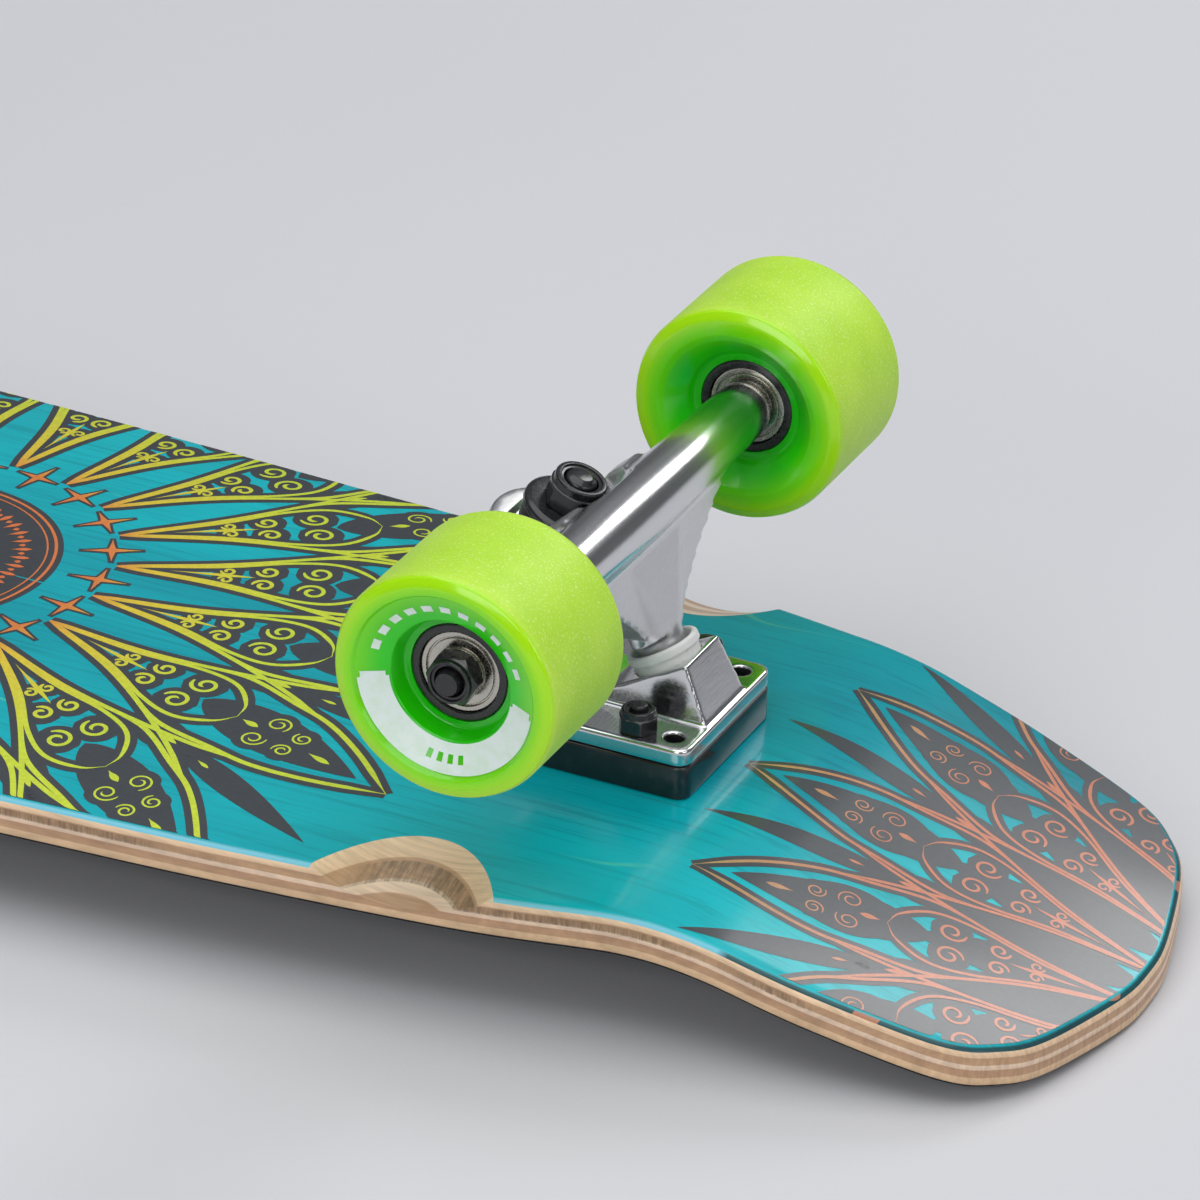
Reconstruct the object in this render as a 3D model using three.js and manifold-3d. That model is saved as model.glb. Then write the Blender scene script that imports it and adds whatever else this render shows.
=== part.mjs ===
// A short cruiser skateboard, stored upside down: it lies on the tips of its nose and tail, wheels up.
// Millimetres. +X runs along the board to the tail, +Z is up, and the origin is on the floor under its middle.
import * as THREE from 'three';
import { ConvexGeometry } from 'three/addons/geometries/ConvexGeometry.js';
import { mergeVertices } from 'three/addons/utils/BufferGeometryUtils.js';
import Module from 'manifold-3d';

const wasm = await Module();
wasm.setup();

// ---- deck ----
const DECK_THICKNESS = 10.7;
const GRIP_THICKNESS = 0.8;
const GRIP_GAP = 0.3;
const GRIP_INSET = 1.5;
const DECK_CHAMFER = 2.2;
const FLAT_HALF_WIDTH = 27.5;      // the middle strip between the trucks is flat
const CONCAVE = 0.00081;           // rise of the edges per square millimetre outside that strip
const KICK_START = 268.6;          // where the nose and tail begin to bend
const KICK_SLOPE = 0.297;
const KICK_BLEND = 16;             // half the length over which the bend turns
const HALF_LENGTH = 371.5;
const OUTLINE_SPLITS = 2;          // points that the outline takes for each of its own
const RING_SHARES = [0, 0.3, 0.65, 1];

// ---- trucks and wheels ----
const AXLE_X = 220;                // each axle's distance from the board's middle
const AXLE_ABOVE_DECK = 64.4;
const AXLE_RADIUS = 3.97;          // 5/16 inch
const AXLE_HALF_LENGTH = 105;
const HANGER_HALF_LENGTH = 71.8;
const HANGER_RADIUS = 8.9;
const WHEEL_RADIUS = 30.6;
const WHEEL_CENTRE_Y = 85.2;       // middle of the two bearings
const OUTER_LIP = 22.7;            // from that middle to the wheel's outer lip
const INNER_LIP = 19.8;
const CORE_RADIUS = 13.4;
const BEARING_RADIUS = 11;
const BEARING_BORE = 4.2;
const BEARING_WIDTH = 7;
const SPACER_LENGTH = 10;

const PLATE_THICKNESS = 5.1;
const PLATE_TOP = -49.7;           // heights inside a truck are measured from its axle
const PLATE_END = 30.6;
const PLATE_LENGTH = 80;
const PLATE_HALF_WIDTH = 27.2;
const PLATE_CORNER = 4;
const HOLE_HALF_SPACING = 20.64;
const HOLE_RADIUS = 2.75;
const OPEN_HOLE_X = 24;            // the old 63.5 mm pattern's outer row, left empty
const BOLT_ROWS = [13.7, -40.3];   // the 54 mm pattern that the bolts use

const PIVOT_TILT = THREE.MathUtils.degToRad(28);
const KINGPIN_TILT = THREE.MathUtils.degToRad(21);
const PIVOT_CENTRE = new THREE.Vector3(12.5, 0, -39.6);
const RING_CENTRE = new THREE.Vector3(-22, 0, -13.9);
const RING_RADIUS = 18.6;
const RING_HALF_THICKNESS = 4;
const SEAT_HALF_THICKNESS = 2.5;
const NOSE_RADIUS = 7.1;
const KINGPIN_RADIUS = 4.7;

// ---- finishes ----
const finish = (color, roughness, metalness) => new THREE.MeshStandardMaterial({ color, roughness, metalness });
const maple = finish(0x0f8d95, 0.3, 0);
const grip = finish(0x17171a, 0.95, 0);
const castAluminium = finish(0xc9cacc, 0.3, 1);
const blackSteel = finish(0x141416, 0.35, 0.8);
const plainSteel = finish(0xb9bbbf, 0.25, 1);
const blackPlastic = finish(0x101114, 0.25, 0);
const whitePlastic = finish(0xe9e9e6, 0.4, 0);
const urethane = finish(0x6fd314, 0.35, 0);

// ---- helpers ----
const V2 = (x, y) => new THREE.Vector2(x, y);
const V3 = (x, y, z) => new THREE.Vector3(x, y, z);

function toSolid(geometry) {
  const bare = geometry.clone();
  bare.deleteAttribute('normal');
  bare.deleteAttribute('uv');
  const merged = mergeVertices(bare, 1e-4);
  const triVerts = [];
  for (let i = 0; i < merged.index.count; i += 3) {
    const corner = [merged.index.getX(i), merged.index.getX(i + 1), merged.index.getX(i + 2)];
    if (new Set(corner).size === 3) triVerts.push(...corner);
  }
  return new wasm.Manifold(new wasm.Mesh({
    numProp: 3,
    vertProperties: new Float32Array(merged.attributes.position.array),
    triVerts: new Uint32Array(triVerts),
  }));
}

function toGeometry(solid) {
  const mesh = solid.getMesh();
  const geometry = new THREE.BufferGeometry();
  geometry.setAttribute('position', new THREE.BufferAttribute(new Float32Array(mesh.vertProperties), 3));
  geometry.setIndex(new THREE.BufferAttribute(new Uint32Array(mesh.triVerts), 1));
  return geometry;
}

function combine(added, removed = []) {
  let solid = toSolid(added[0]);
  for (const piece of added.slice(1)) solid = solid.add(toSolid(piece));
  for (const piece of removed) solid = solid.subtract(toSolid(piece));
  return toGeometry(solid);
}

// A turned solid about the Y axis. The profile is a closed list of [radius, y], listed with y going up
// on the outside and down on the inside.
function turned(profile, segments) {
  const closed = [...profile, profile[0]];
  return new THREE.LatheGeometry(closed.map(([r, y]) => V2(r, y)), segments);
}

// A bar or ring of one radius between two heights along Y.
function bar(radius, low, high, segments) {
  const geometry = new THREE.CylinderGeometry(radius, radius, high - low, segments);
  geometry.translate(0, (low + high) / 2, 0);
  return geometry;
}

// Leans a shape built along Z, so that its top tips towards +X by an angle, and puts it in its place.
function lean(geometry, place, angle) {
  geometry.rotateY(angle);
  geometry.translate(place.x, place.y, place.z);
  return geometry;
}

// The same for a shape built along Y, which first stands up along Z.
function stand(geometry, place, angle) {
  geometry.rotateX(Math.PI / 2);
  return lean(geometry, place, angle);
}

// A plate: an outline in X and Y, raised from one height to another.
function plate(shape, low, high, bevel = 0) {
  const geometry = new THREE.ExtrudeGeometry(shape, {
    depth: high - low - 2 * bevel,
    bevelEnabled: bevel > 0,
    bevelSize: bevel,
    bevelThickness: bevel,
    bevelOffset: -bevel,
    bevelSegments: 1,
    curveSegments: 3,
  });
  geometry.translate(0, 0, low + bevel);
  return geometry;
}

function roundedRectangle(x0, x1, halfWidth, corner) {
  const shape = new THREE.Shape();
  shape.moveTo(x0 + corner, -halfWidth);
  shape.lineTo(x1 - corner, -halfWidth);
  shape.absarc(x1 - corner, -halfWidth + corner, corner, -Math.PI / 2, 0);
  shape.lineTo(x1, halfWidth - corner);
  shape.absarc(x1 - corner, halfWidth - corner, corner, 0, Math.PI / 2);
  shape.lineTo(x0 + corner, halfWidth);
  shape.absarc(x0 + corner, halfWidth - corner, corner, Math.PI / 2, Math.PI);
  shape.lineTo(x0, -halfWidth + corner);
  shape.absarc(x0 + corner, -halfWidth + corner, corner, Math.PI, 1.5 * Math.PI);
  return shape;
}

// A stadium-shaped cutter, long across the board, between two heights along Z.
function stadium(radius, halfLength, low, high) {
  const shape = new THREE.Shape();
  shape.moveTo(radius, -halfLength);
  shape.lineTo(radius, halfLength);
  shape.absarc(0, halfLength, radius, 0, Math.PI);
  shape.lineTo(-radius, -halfLength);
  shape.absarc(0, -halfLength, radius, Math.PI, 2 * Math.PI);
  const geometry = new THREE.ExtrudeGeometry(shape, { depth: high - low, bevelEnabled: false, curveSegments: 5 });
  geometry.translate(0, 0, low);
  return geometry;
}

function node(name, geometry, material) {
  const mesh = new THREE.Mesh(geometry, material);
  mesh.name = name;
  return mesh;
}

// ---- deck and grip tape ----

// Half the outline, from the tail's tip to the nose's tip: [x, half width].
const OUTLINE = [
  [HALF_LENGTH, 0], [370, 17], [362.5, 46], [354.5, 60], [341, 70], [308, 77.5], [282, 80.5], [256, 84],
  [215, 91.5], [150, 98], [90, 102], [30, 106], [-30, 109], [-90, 109.5], [-150, 106.5], [-215, 99.5],
  [-256, 93], [-290, 86], [-320, 76], [-346, 59], [-364, 33], [-HALF_LENGTH, 0],
];
const outlineCurve = new THREE.SplineCurve(OUTLINE.map(([x, y]) => V2(x, y)));

// Height of the graphic face above its flat middle.
function deckHeight(x, y) {
  const across = Math.max(0, Math.abs(y) - FLAT_HALF_WIDTH);
  const past = Math.abs(x) - KICK_START;
  const blend = THREE.MathUtils.clamp(past + KICK_BLEND, 0, 2 * KICK_BLEND);
  const bent = (blend * blend) / (4 * KICK_BLEND);
  const straight = Math.max(0, past - KICK_BLEND);
  return -CONCAVE * across * across - KICK_SLOPE * (bent + straight);
}

// A closed sheet that follows the deck: rings of points from a spine on the centre line out to the edge.
function deckSheet(top, thickness, inset, chamfer) {
  const half = outlineCurve.getPoints(OUTLINE_SPLITS * (OUTLINE.length - 1));
  const around = [...half, ...half.slice(1, -1).reverse().map((p) => V2(p.x, -p.y))];
  const count = around.length;
  const spineEnd = HALF_LENGTH - 75;
  const inward = around.map((p, i) => {
    const next = around[(i + 1) % count];
    const last = around[(i + count - 1) % count];
    return V2(next.y - last.y, last.x - next.x).normalize();
  });
  const at = (i, share, move) => {
    const p = around[i].clone().addScaledVector(inward[i], -move);
    const spine = V2(THREE.MathUtils.clamp(around[i].x, -spineEnd, spineEnd), 0);
    return spine.lerp(p, share);
  };
  const position = [];
  const ring = (share, move, drop) => {
    for (let i = 0; i < count; i += 1) {
      const p = at(i, share, move);
      position.push(p.x, p.y, top + deckHeight(p.x, p.y) - drop);
    }
  };
  for (const share of RING_SHARES) ring(share, inset + chamfer, 0);
  if (chamfer > 0) {
    ring(1, inset, chamfer);
    ring(1, inset, thickness - chamfer);
  }
  for (const share of [...RING_SHARES].reverse()) ring(share, inset + chamfer, thickness);
  const rings = position.length / 3 / count;
  const index = [];
  for (let r = 0; r < rings - 1; r += 1) {
    for (let i = 0; i < count; i += 1) {
      const j = (i + 1) % count;
      const [a, b, c, d] = [r * count + i, r * count + j, (r + 1) * count + j, (r + 1) * count + i];
      index.push(a, c, b, a, d, c);
    }
  }
  const geometry = new THREE.BufferGeometry();
  geometry.setAttribute('position', new THREE.Float32BufferAttribute(position, 3));
  geometry.setIndex(index);
  return geometry;
}

// The grip tape's tips touch the floor, so they set the height of everything else.
const TIP_DROP = KICK_SLOPE * (HALF_LENGTH - GRIP_INSET - KICK_START);
const DECK_TOP = TIP_DROP + DECK_THICKNESS + GRIP_GAP + GRIP_THICKNESS;
const DECK_BOTTOM = DECK_TOP - DECK_THICKNESS;
const AXLE_Z = DECK_TOP + AXLE_ABOVE_DECK;

// Wheel wells: a drum lying across the board, tipped so that it bites only near the edge.
const WELL_RADIUS = 53;
const WELL_TILT = THREE.MathUtils.degToRad(22);
const WELL_X = AXLE_X - 17;
const WELL_INNER_Y = 67;

function wellCutter(side, end) {
  const drum = bar(WELL_RADIUS, -60, 100, 40);
  drum.translate(0, 0, WELL_RADIUS);
  drum.rotateX(-WELL_TILT);
  if (side < 0) drum.rotateZ(Math.PI);
  drum.translate(end * WELL_X, side * WELL_INNER_Y, DECK_TOP);
  return drum;
}

function boltPlaces() {
  const places = [];
  for (const end of [1, -1]) {
    for (const row of BOLT_ROWS) {
      for (const side of [-1, 1]) places.push({ end, row, side });
    }
  }
  return places;
}

const BOLT_HEAD_RADIUS = 4.7;
const BOLT_HEAD_HEIGHT = 2.7;
const BOLT_RADIUS = 2.4;
const NUT_ACROSS_CORNERS = 5.3;

function boltHole(place, radius, low, high) {
  const x = place.end * (AXLE_X + place.row);
  return stand(bar(radius, low, high, 8), V3(x, place.side * HOLE_HALF_SPACING, 0), 0);
}

function makeDeck() {
  const holes = [];
  for (const place of boltPlaces()) {
    holes.push(boltHole(place, HOLE_RADIUS, DECK_BOTTOM - 1, DECK_TOP + 1));
    holes.push(boltHole(place, BOLT_HEAD_RADIUS + 0.4, DECK_BOTTOM - 1, DECK_BOTTOM + BOLT_HEAD_HEIGHT));
  }
  const wells = [wellCutter(1, 1), wellCutter(-1, 1), wellCutter(1, -1), wellCutter(-1, -1)];
  return combine([deckSheet(DECK_TOP, DECK_THICKNESS, 0, DECK_CHAMFER)], [...wells, ...holes]);
}

function makeGrip() {
  const top = DECK_BOTTOM - GRIP_GAP;
  const holes = boltPlaces().map((place) => boltHole(place, BOLT_HEAD_RADIUS + 0.4, top - 2, top + 1));
  return combine([deckSheet(top, GRIP_THICKNESS, GRIP_INSET, 0)], holes);
}

// A countersunk bolt from the standing side, joined with its lock nut on the baseplate.
function makeBolt() {
  const head = DECK_BOTTOM - GRIP_GAP - GRIP_THICKNESS + 0.2 - AXLE_Z;
  const nut = PLATE_TOP + 0.15;
  const bolt = turned([
    [0, head], [BOLT_HEAD_RADIUS, head], [BOLT_RADIUS, head + BOLT_HEAD_HEIGHT], [BOLT_RADIUS, nut + 7.6],
    [0, nut + 7.6],
  ], 8);
  const hexagon = bar(NUT_ACROSS_CORNERS, nut, nut + 4.3, 6);
  const collar = new THREE.CylinderGeometry(3.6, 4.5, 1.9, 8);
  collar.translate(0, nut + 5.2, 0);
  return combine([bolt, hexagon, collar].map((piece) => stand(piece, V3(0, 0, 0), 0)));
}

// ---- truck, built about the middle of its axle, with +X towards the board's tip ----

const kingpinAxis = V3(Math.sin(KINGPIN_TILT), 0, Math.cos(KINGPIN_TILT));
const pivotAxis = V3(-Math.sin(PIVOT_TILT), 0, Math.cos(PIVOT_TILT));
const onKingpin = (distance) => RING_CENTRE.clone().addScaledVector(kingpinAxis, distance);
const onPivot = (distance) => PIVOT_CENTRE.clone().addScaledVector(pivotAxis, distance);

// Heights along the kingpin, measured from the middle of the hanger's ring.
const ROAD_BUSHING = [2.8, 11.6];
const ROAD_WASHER = [11.8, 13.8];
const KINGPIN_NUT = [14.0, 22.4];
const BOARD_BUSHING = [-14.6, -2.8];
const BOARD_WASHER = [-16.8, -14.8];
const BOSS_TOP = -17;
const KINGPIN_HEAD = [-39, -33];
const KINGPIN_END = 23.6;
const WASHER_RADIUS = 12;
const BUSHING_RADIUS = 11.4;

const CUP_RIM = 5.2;               // heights along the pivot, from the middle of the nose's ball
const CUP_SEAT = 2.6;
const CUP_RIM_RADIUS = 9.7;
const CUP_BODY_RADIUS = 9.2;
const CUP_BORE_RADIUS = 7.9;
const CUP_DEPTH = -9.4;

function makeRiser() {
  const shape = roundedRectangle(PLATE_END - PLATE_LENGTH, PLATE_END, PLATE_HALF_WIDTH, PLATE_CORNER);
  const top = PLATE_TOP - PLATE_THICKNESS - 0.05;
  const bottom = -AXLE_ABOVE_DECK + 0.05;
  return combine([plate(shape, bottom, top)], plateHoles());
}

function plateHoles() {
  const holes = [];
  for (const x of [OPEN_HOLE_X, ...BOLT_ROWS]) {
    for (const side of [-1, 1]) {
      holes.push(stand(bar(HOLE_RADIUS, -70, -45, 8), V3(x, side * HOLE_HALF_SPACING, 0), 0));
    }
  }
  return holes;
}

// The pivot boss, with a slanting top that squares up to the pivot, and the kingpin boss.
function makeBaseplate() {
  const shape = roundedRectangle(PLATE_END - PLATE_LENGTH, PLATE_END, PLATE_HALF_WIDTH, PLATE_CORNER);
  const base = plate(shape, PLATE_TOP - PLATE_THICKNESS, PLATE_TOP, 1);
  const inside = PLATE_TOP - 1;
  const pivotBoss = new ConvexGeometry([
    V3(29.6, -12.3, inside), V3(29.6, 12.3, inside), V3(-9, -11.5, inside), V3(-9, 11.5, inside),
    V3(21.8, -10.1, -34.4), V3(21.8, 10.1, -34.4), V3(-6, -10.6, -49.2), V3(-6, 10.6, -49.2),
  ]);
  const rim = [];
  for (let i = 0; i < 16; i += 1) {
    const angle = (i / 16) * 2 * Math.PI;
    const across = V3(Math.cos(KINGPIN_TILT), 0, -Math.sin(KINGPIN_TILT)).multiplyScalar(12.5 * Math.cos(angle));
    rim.push(onKingpin(BOSS_TOP).add(across).add(V3(0, 12.5 * Math.sin(angle), 0)));
  }
  const kingpinBoss = new ConvexGeometry([
    ...rim, V3(-48, -14, inside), V3(-48, 14, inside), V3(-16, -14, inside), V3(-16, 14, inside),
  ]);
  const spine = new ConvexGeometry([
    V3(-24, -9, inside), V3(-24, 9, inside), V3(2, -9, inside), V3(2, 9, inside),
    V3(-24, -7, -43), V3(-24, 7, -43), V3(0, -7, -45.6), V3(0, 7, -45.6),
  ]);
  const cupBore = turned([[0, CUP_DEPTH - 0.1], [CUP_BODY_RADIUS + 0.1, CUP_DEPTH - 0.1],
    [CUP_BODY_RADIUS + 0.1, 20], [0, 20]], 16);
  const shankHole = bar(KINGPIN_RADIUS + 0.15, -45, BOSS_TOP + 5, 16);
  const headPocket = bar(9, -70, KINGPIN_HEAD[1] + 0.1, 16);
  return combine([base, pivotBoss, kingpinBoss, spine], [
    stand(cupBore, PIVOT_CENTRE, -PIVOT_TILT),
    stand(shankHole, RING_CENTRE, KINGPIN_TILT),
    stand(headPocket, RING_CENTRE, KINGPIN_TILT),
    ...plateHoles(),
  ]);
}

function ballProfile(radius, top, steps) {
  const points = [];
  for (let i = 0; i <= steps; i += 1) {
    const angle = (i / steps) * (Math.PI / 2);
    points.push([radius * Math.sin(angle), -radius * Math.cos(angle)]);
  }
  points.push([radius, top]);
  return points;
}

function makePivotCup() {
  const hollow = ballProfile(CUP_BORE_RADIUS, CUP_SEAT - 1, 3).reverse();
  const cup = turned([
    [0, CUP_DEPTH], [CUP_BODY_RADIUS, CUP_DEPTH], [CUP_BODY_RADIUS, CUP_SEAT], [CUP_RIM_RADIUS, CUP_SEAT + 0.3],
    [CUP_RIM_RADIUS, CUP_RIM - 0.8], [CUP_RIM_RADIUS - 0.8, CUP_RIM], [CUP_BORE_RADIUS + 0.6, CUP_RIM], ...hollow,
  ], 16);
  return stand(cup, PIVOT_CENTRE, -PIVOT_TILT);
}

function makeKingpin() {
  const pin = bar(KINGPIN_RADIUS, KINGPIN_HEAD[1], KINGPIN_END, 16);
  const head = bar(8, KINGPIN_HEAD[0], KINGPIN_HEAD[1] + 0.01, 6);
  return combine([stand(pin, RING_CENTRE, KINGPIN_TILT), stand(head, RING_CENTRE, KINGPIN_TILT)]);
}

function makeKingpinNut() {
  const [low, high] = KINGPIN_NUT;
  const hexagon = bar(7.8, low, high - 2.6, 6);
  const collar = turned([[0, high - 2.7], [7.2, high - 2.7], [7.2, high - 0.9], [6.2, high], [0, high]], 16);
  const hole = bar(KINGPIN_RADIUS + 0.1, low - 1, high + 1, 16);
  return combine([hexagon, collar].map((piece) => stand(piece, RING_CENTRE, KINGPIN_TILT)),
    [stand(hole, RING_CENTRE, KINGPIN_TILT)]);
}

function makeBushing([low, high], wideAtLow) {
  const bore = KINGPIN_RADIUS + 0.5;
  const lowRadius = wideAtLow ? BUSHING_RADIUS : BUSHING_RADIUS - 1.2;
  const highRadius = wideAtLow ? BUSHING_RADIUS - 1.2 : BUSHING_RADIUS;
  const middle = (low + high) / 2;
  const profile = [[bore, low], [lowRadius, low], [BUSHING_RADIUS, middle], [highRadius, high], [bore, high]];
  return stand(turned(profile, 16), RING_CENTRE, KINGPIN_TILT);
}

function makeWasher([low, high]) {
  const bore = KINGPIN_RADIUS + 0.3;
  const edge = WASHER_RADIUS - 1.2;
  const profile = [[bore, low], [WASHER_RADIUS, low], [WASHER_RADIUS, high - 0.7], [edge, high], [bore, high]];
  return stand(turned(profile, 16), RING_CENTRE, KINGPIN_TILT);
}

// The hanger: a tube for the axle, a web down to the pivot nose, and a ring that the bushings hold.
function makeHanger() {
  const end = HANGER_HALF_LENGTH;
  const tube = turned([[0, -end], [7.4, -end], [8.3, -end + 1.2], [HANGER_RADIUS, -30], [HANGER_RADIUS, 30],
    [8.3, end - 1.2], [7.4, end], [0, end]], 16);
  const outline = new THREE.Shape();
  outline.moveTo(-66, 1);
  outline.quadraticCurveTo(-36, -18.5, -9, -34);
  outline.lineTo(9, -34);
  outline.quadraticCurveTo(36, -18.5, 66, 1);
  const web = new THREE.ExtrudeGeometry(outline, { depth: 7, bevelEnabled: false, curveSegments: 6 });
  web.translate(0, 0, -3.5);
  web.rotateX(Math.PI / 2);
  web.rotateZ(Math.PI / 2);
  web.rotateY(THREE.MathUtils.degToRad(-10));
  web.translate(2.5, 0, 0);
  const ring = stand(bar(RING_RADIUS, -RING_HALF_THICKNESS, RING_HALF_THICKNESS, 24), RING_CENTRE, KINGPIN_TILT);
  const side = (points, low, high) => {
    const shape = new THREE.Shape(points.map(([x, z]) => V2(x, z)));
    const geometry = new THREE.ExtrudeGeometry(shape, { depth: high - low, bevelEnabled: false });
    geometry.rotateX(Math.PI / 2);
    geometry.translate(0, high, 0);
    return geometry;
  };
  const bridge = side([[-14, -21], [-9, -9], [2, -6], [9, -24], [0, -25]], -17, 17);
  const cheek = [[-25, -14], [-19.5, -6], [-7.5, 6.8], [5, 5], [6, -22], [-12, -20]];
  const nose = stand(turned(ballProfile(NOSE_RADIUS, 15, 3).concat([[0, 15]]), 12), PIVOT_CENTRE, -PIVOT_TILT);
  const axleBore = bar(AXLE_RADIUS + 0.1, -90, 90, 16);
  const seatRadius = WASHER_RADIUS + 0.8;
  return combine([tube, web, ring, bridge, side(cheek, -23, -12), side(cheek, 12, 23), nose], [
    axleBore,
    lean(stadium(seatRadius, 3.8, SEAT_HALF_THICKNESS, 15), RING_CENTRE, KINGPIN_TILT),
    lean(stadium(9.2, 6.2, 14.5, 45), RING_CENTRE, KINGPIN_TILT),
    lean(stadium(seatRadius, 3.8, -24, -SEAT_HALF_THICKNESS), RING_CENTRE, KINGPIN_TILT),
    stand(bar(7.6, -10, 10, 16), RING_CENTRE, KINGPIN_TILT),
  ]);
}

function makeAxle() {
  const end = AXLE_HALF_LENGTH;
  const r = AXLE_RADIUS;
  return turned([[0, -end], [r - 1, -end], [r, -end + 1], [r, end - 1], [r - 1, end], [0, end]], 16);
}

// ---- wheel, built about the middle of its bearings, with its outer face towards -Y ----

function makeTyre() {
  const r = WHEEL_RADIUS;
  const bore = CORE_RADIUS + 0.1;
  return turned([
    [bore, -12.6], [15, -12.6], [16, -17.7], [24.4, 1 - OUTER_LIP], [27.4, -OUTER_LIP], [r, 3 - OUTER_LIP],
    [r, INNER_LIP - 3], [27.4, INNER_LIP], [21.6, INNER_LIP - 0.6], [16, 12.6], [bore, 12.6],
  ], 28);
}

function makeCore() {
  const half = BEARING_WIDTH + SPACER_LENGTH / 2 + 0.6;
  const seat = BEARING_RADIUS + 0.05;
  const shoulder = SPACER_LENGTH / 2 - 0.1;
  return turned([
    [seat, -half], [CORE_RADIUS, -half], [CORE_RADIUS, half], [seat, half], [seat, shoulder],
    [8.6, shoulder], [8.6, -shoulder], [seat, -shoulder],
  ], 16);
}

function makeBearing(low) {
  const high = low + BEARING_WIDTH;
  return turned([[BEARING_BORE, low], [BEARING_RADIUS, low], [BEARING_RADIUS, high], [BEARING_BORE, high]], 16);
}

function makeSpacer() {
  const half = SPACER_LENGTH / 2 - 0.1;
  return turned([[4.15, -half], [5.4, -half], [5.4, half], [4.15, half]], 12);
}

function makeAxleNut() {
  const low = AXLE_HALF_LENGTH - 6.5;
  const high = AXLE_HALF_LENGTH - 1;
  const hexagon = bar(7.2, low, high - 1.4, 6);
  const collar = turned([[0, high - 1.5], [6.2, high - 1.5], [5.4, high], [0, high]], 16);
  return combine([hexagon, collar], [bar(AXLE_RADIUS + 0.1, low - 1, high + 1, 16)]);
}

function makeWheel(name, side) {
  const wheel = new THREE.Group();
  const half = SPACER_LENGTH / 2;
  wheel.add(node(`tyre_${name}`, makeTyre(), urethane));
  wheel.add(node(`core_${name}`, makeCore(), blackPlastic));
  wheel.add(node(`bearing_out_${name}`, makeBearing(-half - BEARING_WIDTH), plainSteel));
  wheel.add(node(`bearing_in_${name}`, makeBearing(half), plainSteel));
  wheel.add(node(`spacer_${name}`, makeSpacer(), plainSteel));
  wheel.position.y = side * WHEEL_CENTRE_Y;
  if (side > 0) wheel.rotation.z = Math.PI;
  return wheel;
}

function makeTruck(end) {
  const truck = new THREE.Group();
  truck.add(node(`riser_${end}`, makeRiser(), blackPlastic));
  truck.add(node(`baseplate_${end}`, makeBaseplate(), castAluminium));
  truck.add(node(`pivot_cup_${end}`, makePivotCup(), whitePlastic));
  truck.add(node(`kingpin_${end}`, makeKingpin(), blackSteel));
  truck.add(node(`kingpin_nut_${end}`, makeKingpinNut(), blackSteel));
  truck.add(node(`bushing_road_${end}`, makeBushing(ROAD_BUSHING, true), blackPlastic));
  truck.add(node(`bushing_board_${end}`, makeBushing(BOARD_BUSHING, false), blackPlastic));
  truck.add(node(`washer_road_${end}`, makeWasher(ROAD_WASHER), blackSteel));
  truck.add(node(`washer_board_${end}`, makeWasher(BOARD_WASHER), blackSteel));
  truck.add(node(`hanger_${end}`, makeHanger(), castAluminium));
  truck.add(node(`axle_${end}`, makeAxle(), plainSteel));
  for (const [name, side] of [['left', -1], ['right', 1]]) {
    truck.add(makeWheel(`${end}_${name}`, side));
    const nut = node(`axle_nut_${end}_${name}`, makeAxleNut(), blackSteel);
    if (side < 0) nut.rotation.z = Math.PI;
    truck.add(nut);
  }
  BOLT_ROWS.forEach((x, row) => {
    for (const [name, side] of [['left', -1], ['right', 1]]) {
      const bolt = node(`bolt_${end}_${row ? 'inner' : 'outer'}_${name}`, makeBolt(), blackSteel);
      bolt.position.set(x, side * HOLE_HALF_SPACING, 0);
      truck.add(bolt);
    }
  });
  truck.position.set(end === 'tail' ? AXLE_X : -AXLE_X, 0, AXLE_Z);
  if (end === 'nose') truck.rotation.z = Math.PI;
  return truck;
}

const skateboard = new THREE.Group();
skateboard.add(node('deck', makeDeck(), maple));
skateboard.add(node('grip_tape', makeGrip(), grip));
skateboard.add(makeTruck('tail'));
skateboard.add(makeTruck('nose'));

export default skateboard;
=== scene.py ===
# %% [markdown]
# # A short cruiser skateboard, lying on its back
#
# This lesson builds the looks of one skateboard around a model that already holds its sizes and its joints.
# The board lies upside down on the tips of its nose and tail, so the printed face and both trucks look up.
# Every cell makes one real piece or one real finish: first how it is on the board, then how Blender can make
# it, then why one way was chosen.
#
# The model is loaded first, because every later piece takes its place from it.

# %% Load the frame
import math

import bmesh
import bpy
import numpy as np
from mathutils import Matrix, Vector


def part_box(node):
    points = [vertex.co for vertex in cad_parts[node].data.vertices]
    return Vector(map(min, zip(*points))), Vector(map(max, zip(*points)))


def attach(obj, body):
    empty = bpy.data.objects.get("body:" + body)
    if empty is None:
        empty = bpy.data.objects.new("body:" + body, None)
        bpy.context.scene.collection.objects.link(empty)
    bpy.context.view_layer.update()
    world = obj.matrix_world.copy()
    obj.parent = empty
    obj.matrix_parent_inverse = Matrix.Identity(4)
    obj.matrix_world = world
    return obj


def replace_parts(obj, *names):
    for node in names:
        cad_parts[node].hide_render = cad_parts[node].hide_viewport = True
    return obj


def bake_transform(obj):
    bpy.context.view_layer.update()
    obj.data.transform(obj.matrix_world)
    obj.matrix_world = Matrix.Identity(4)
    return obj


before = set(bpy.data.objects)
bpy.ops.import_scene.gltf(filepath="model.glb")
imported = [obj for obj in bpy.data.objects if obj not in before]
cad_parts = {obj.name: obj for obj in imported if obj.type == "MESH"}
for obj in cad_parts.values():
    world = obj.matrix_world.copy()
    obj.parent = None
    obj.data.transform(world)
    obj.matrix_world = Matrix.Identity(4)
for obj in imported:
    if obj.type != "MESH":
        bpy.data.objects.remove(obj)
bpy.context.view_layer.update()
MM = 0.001

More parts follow.
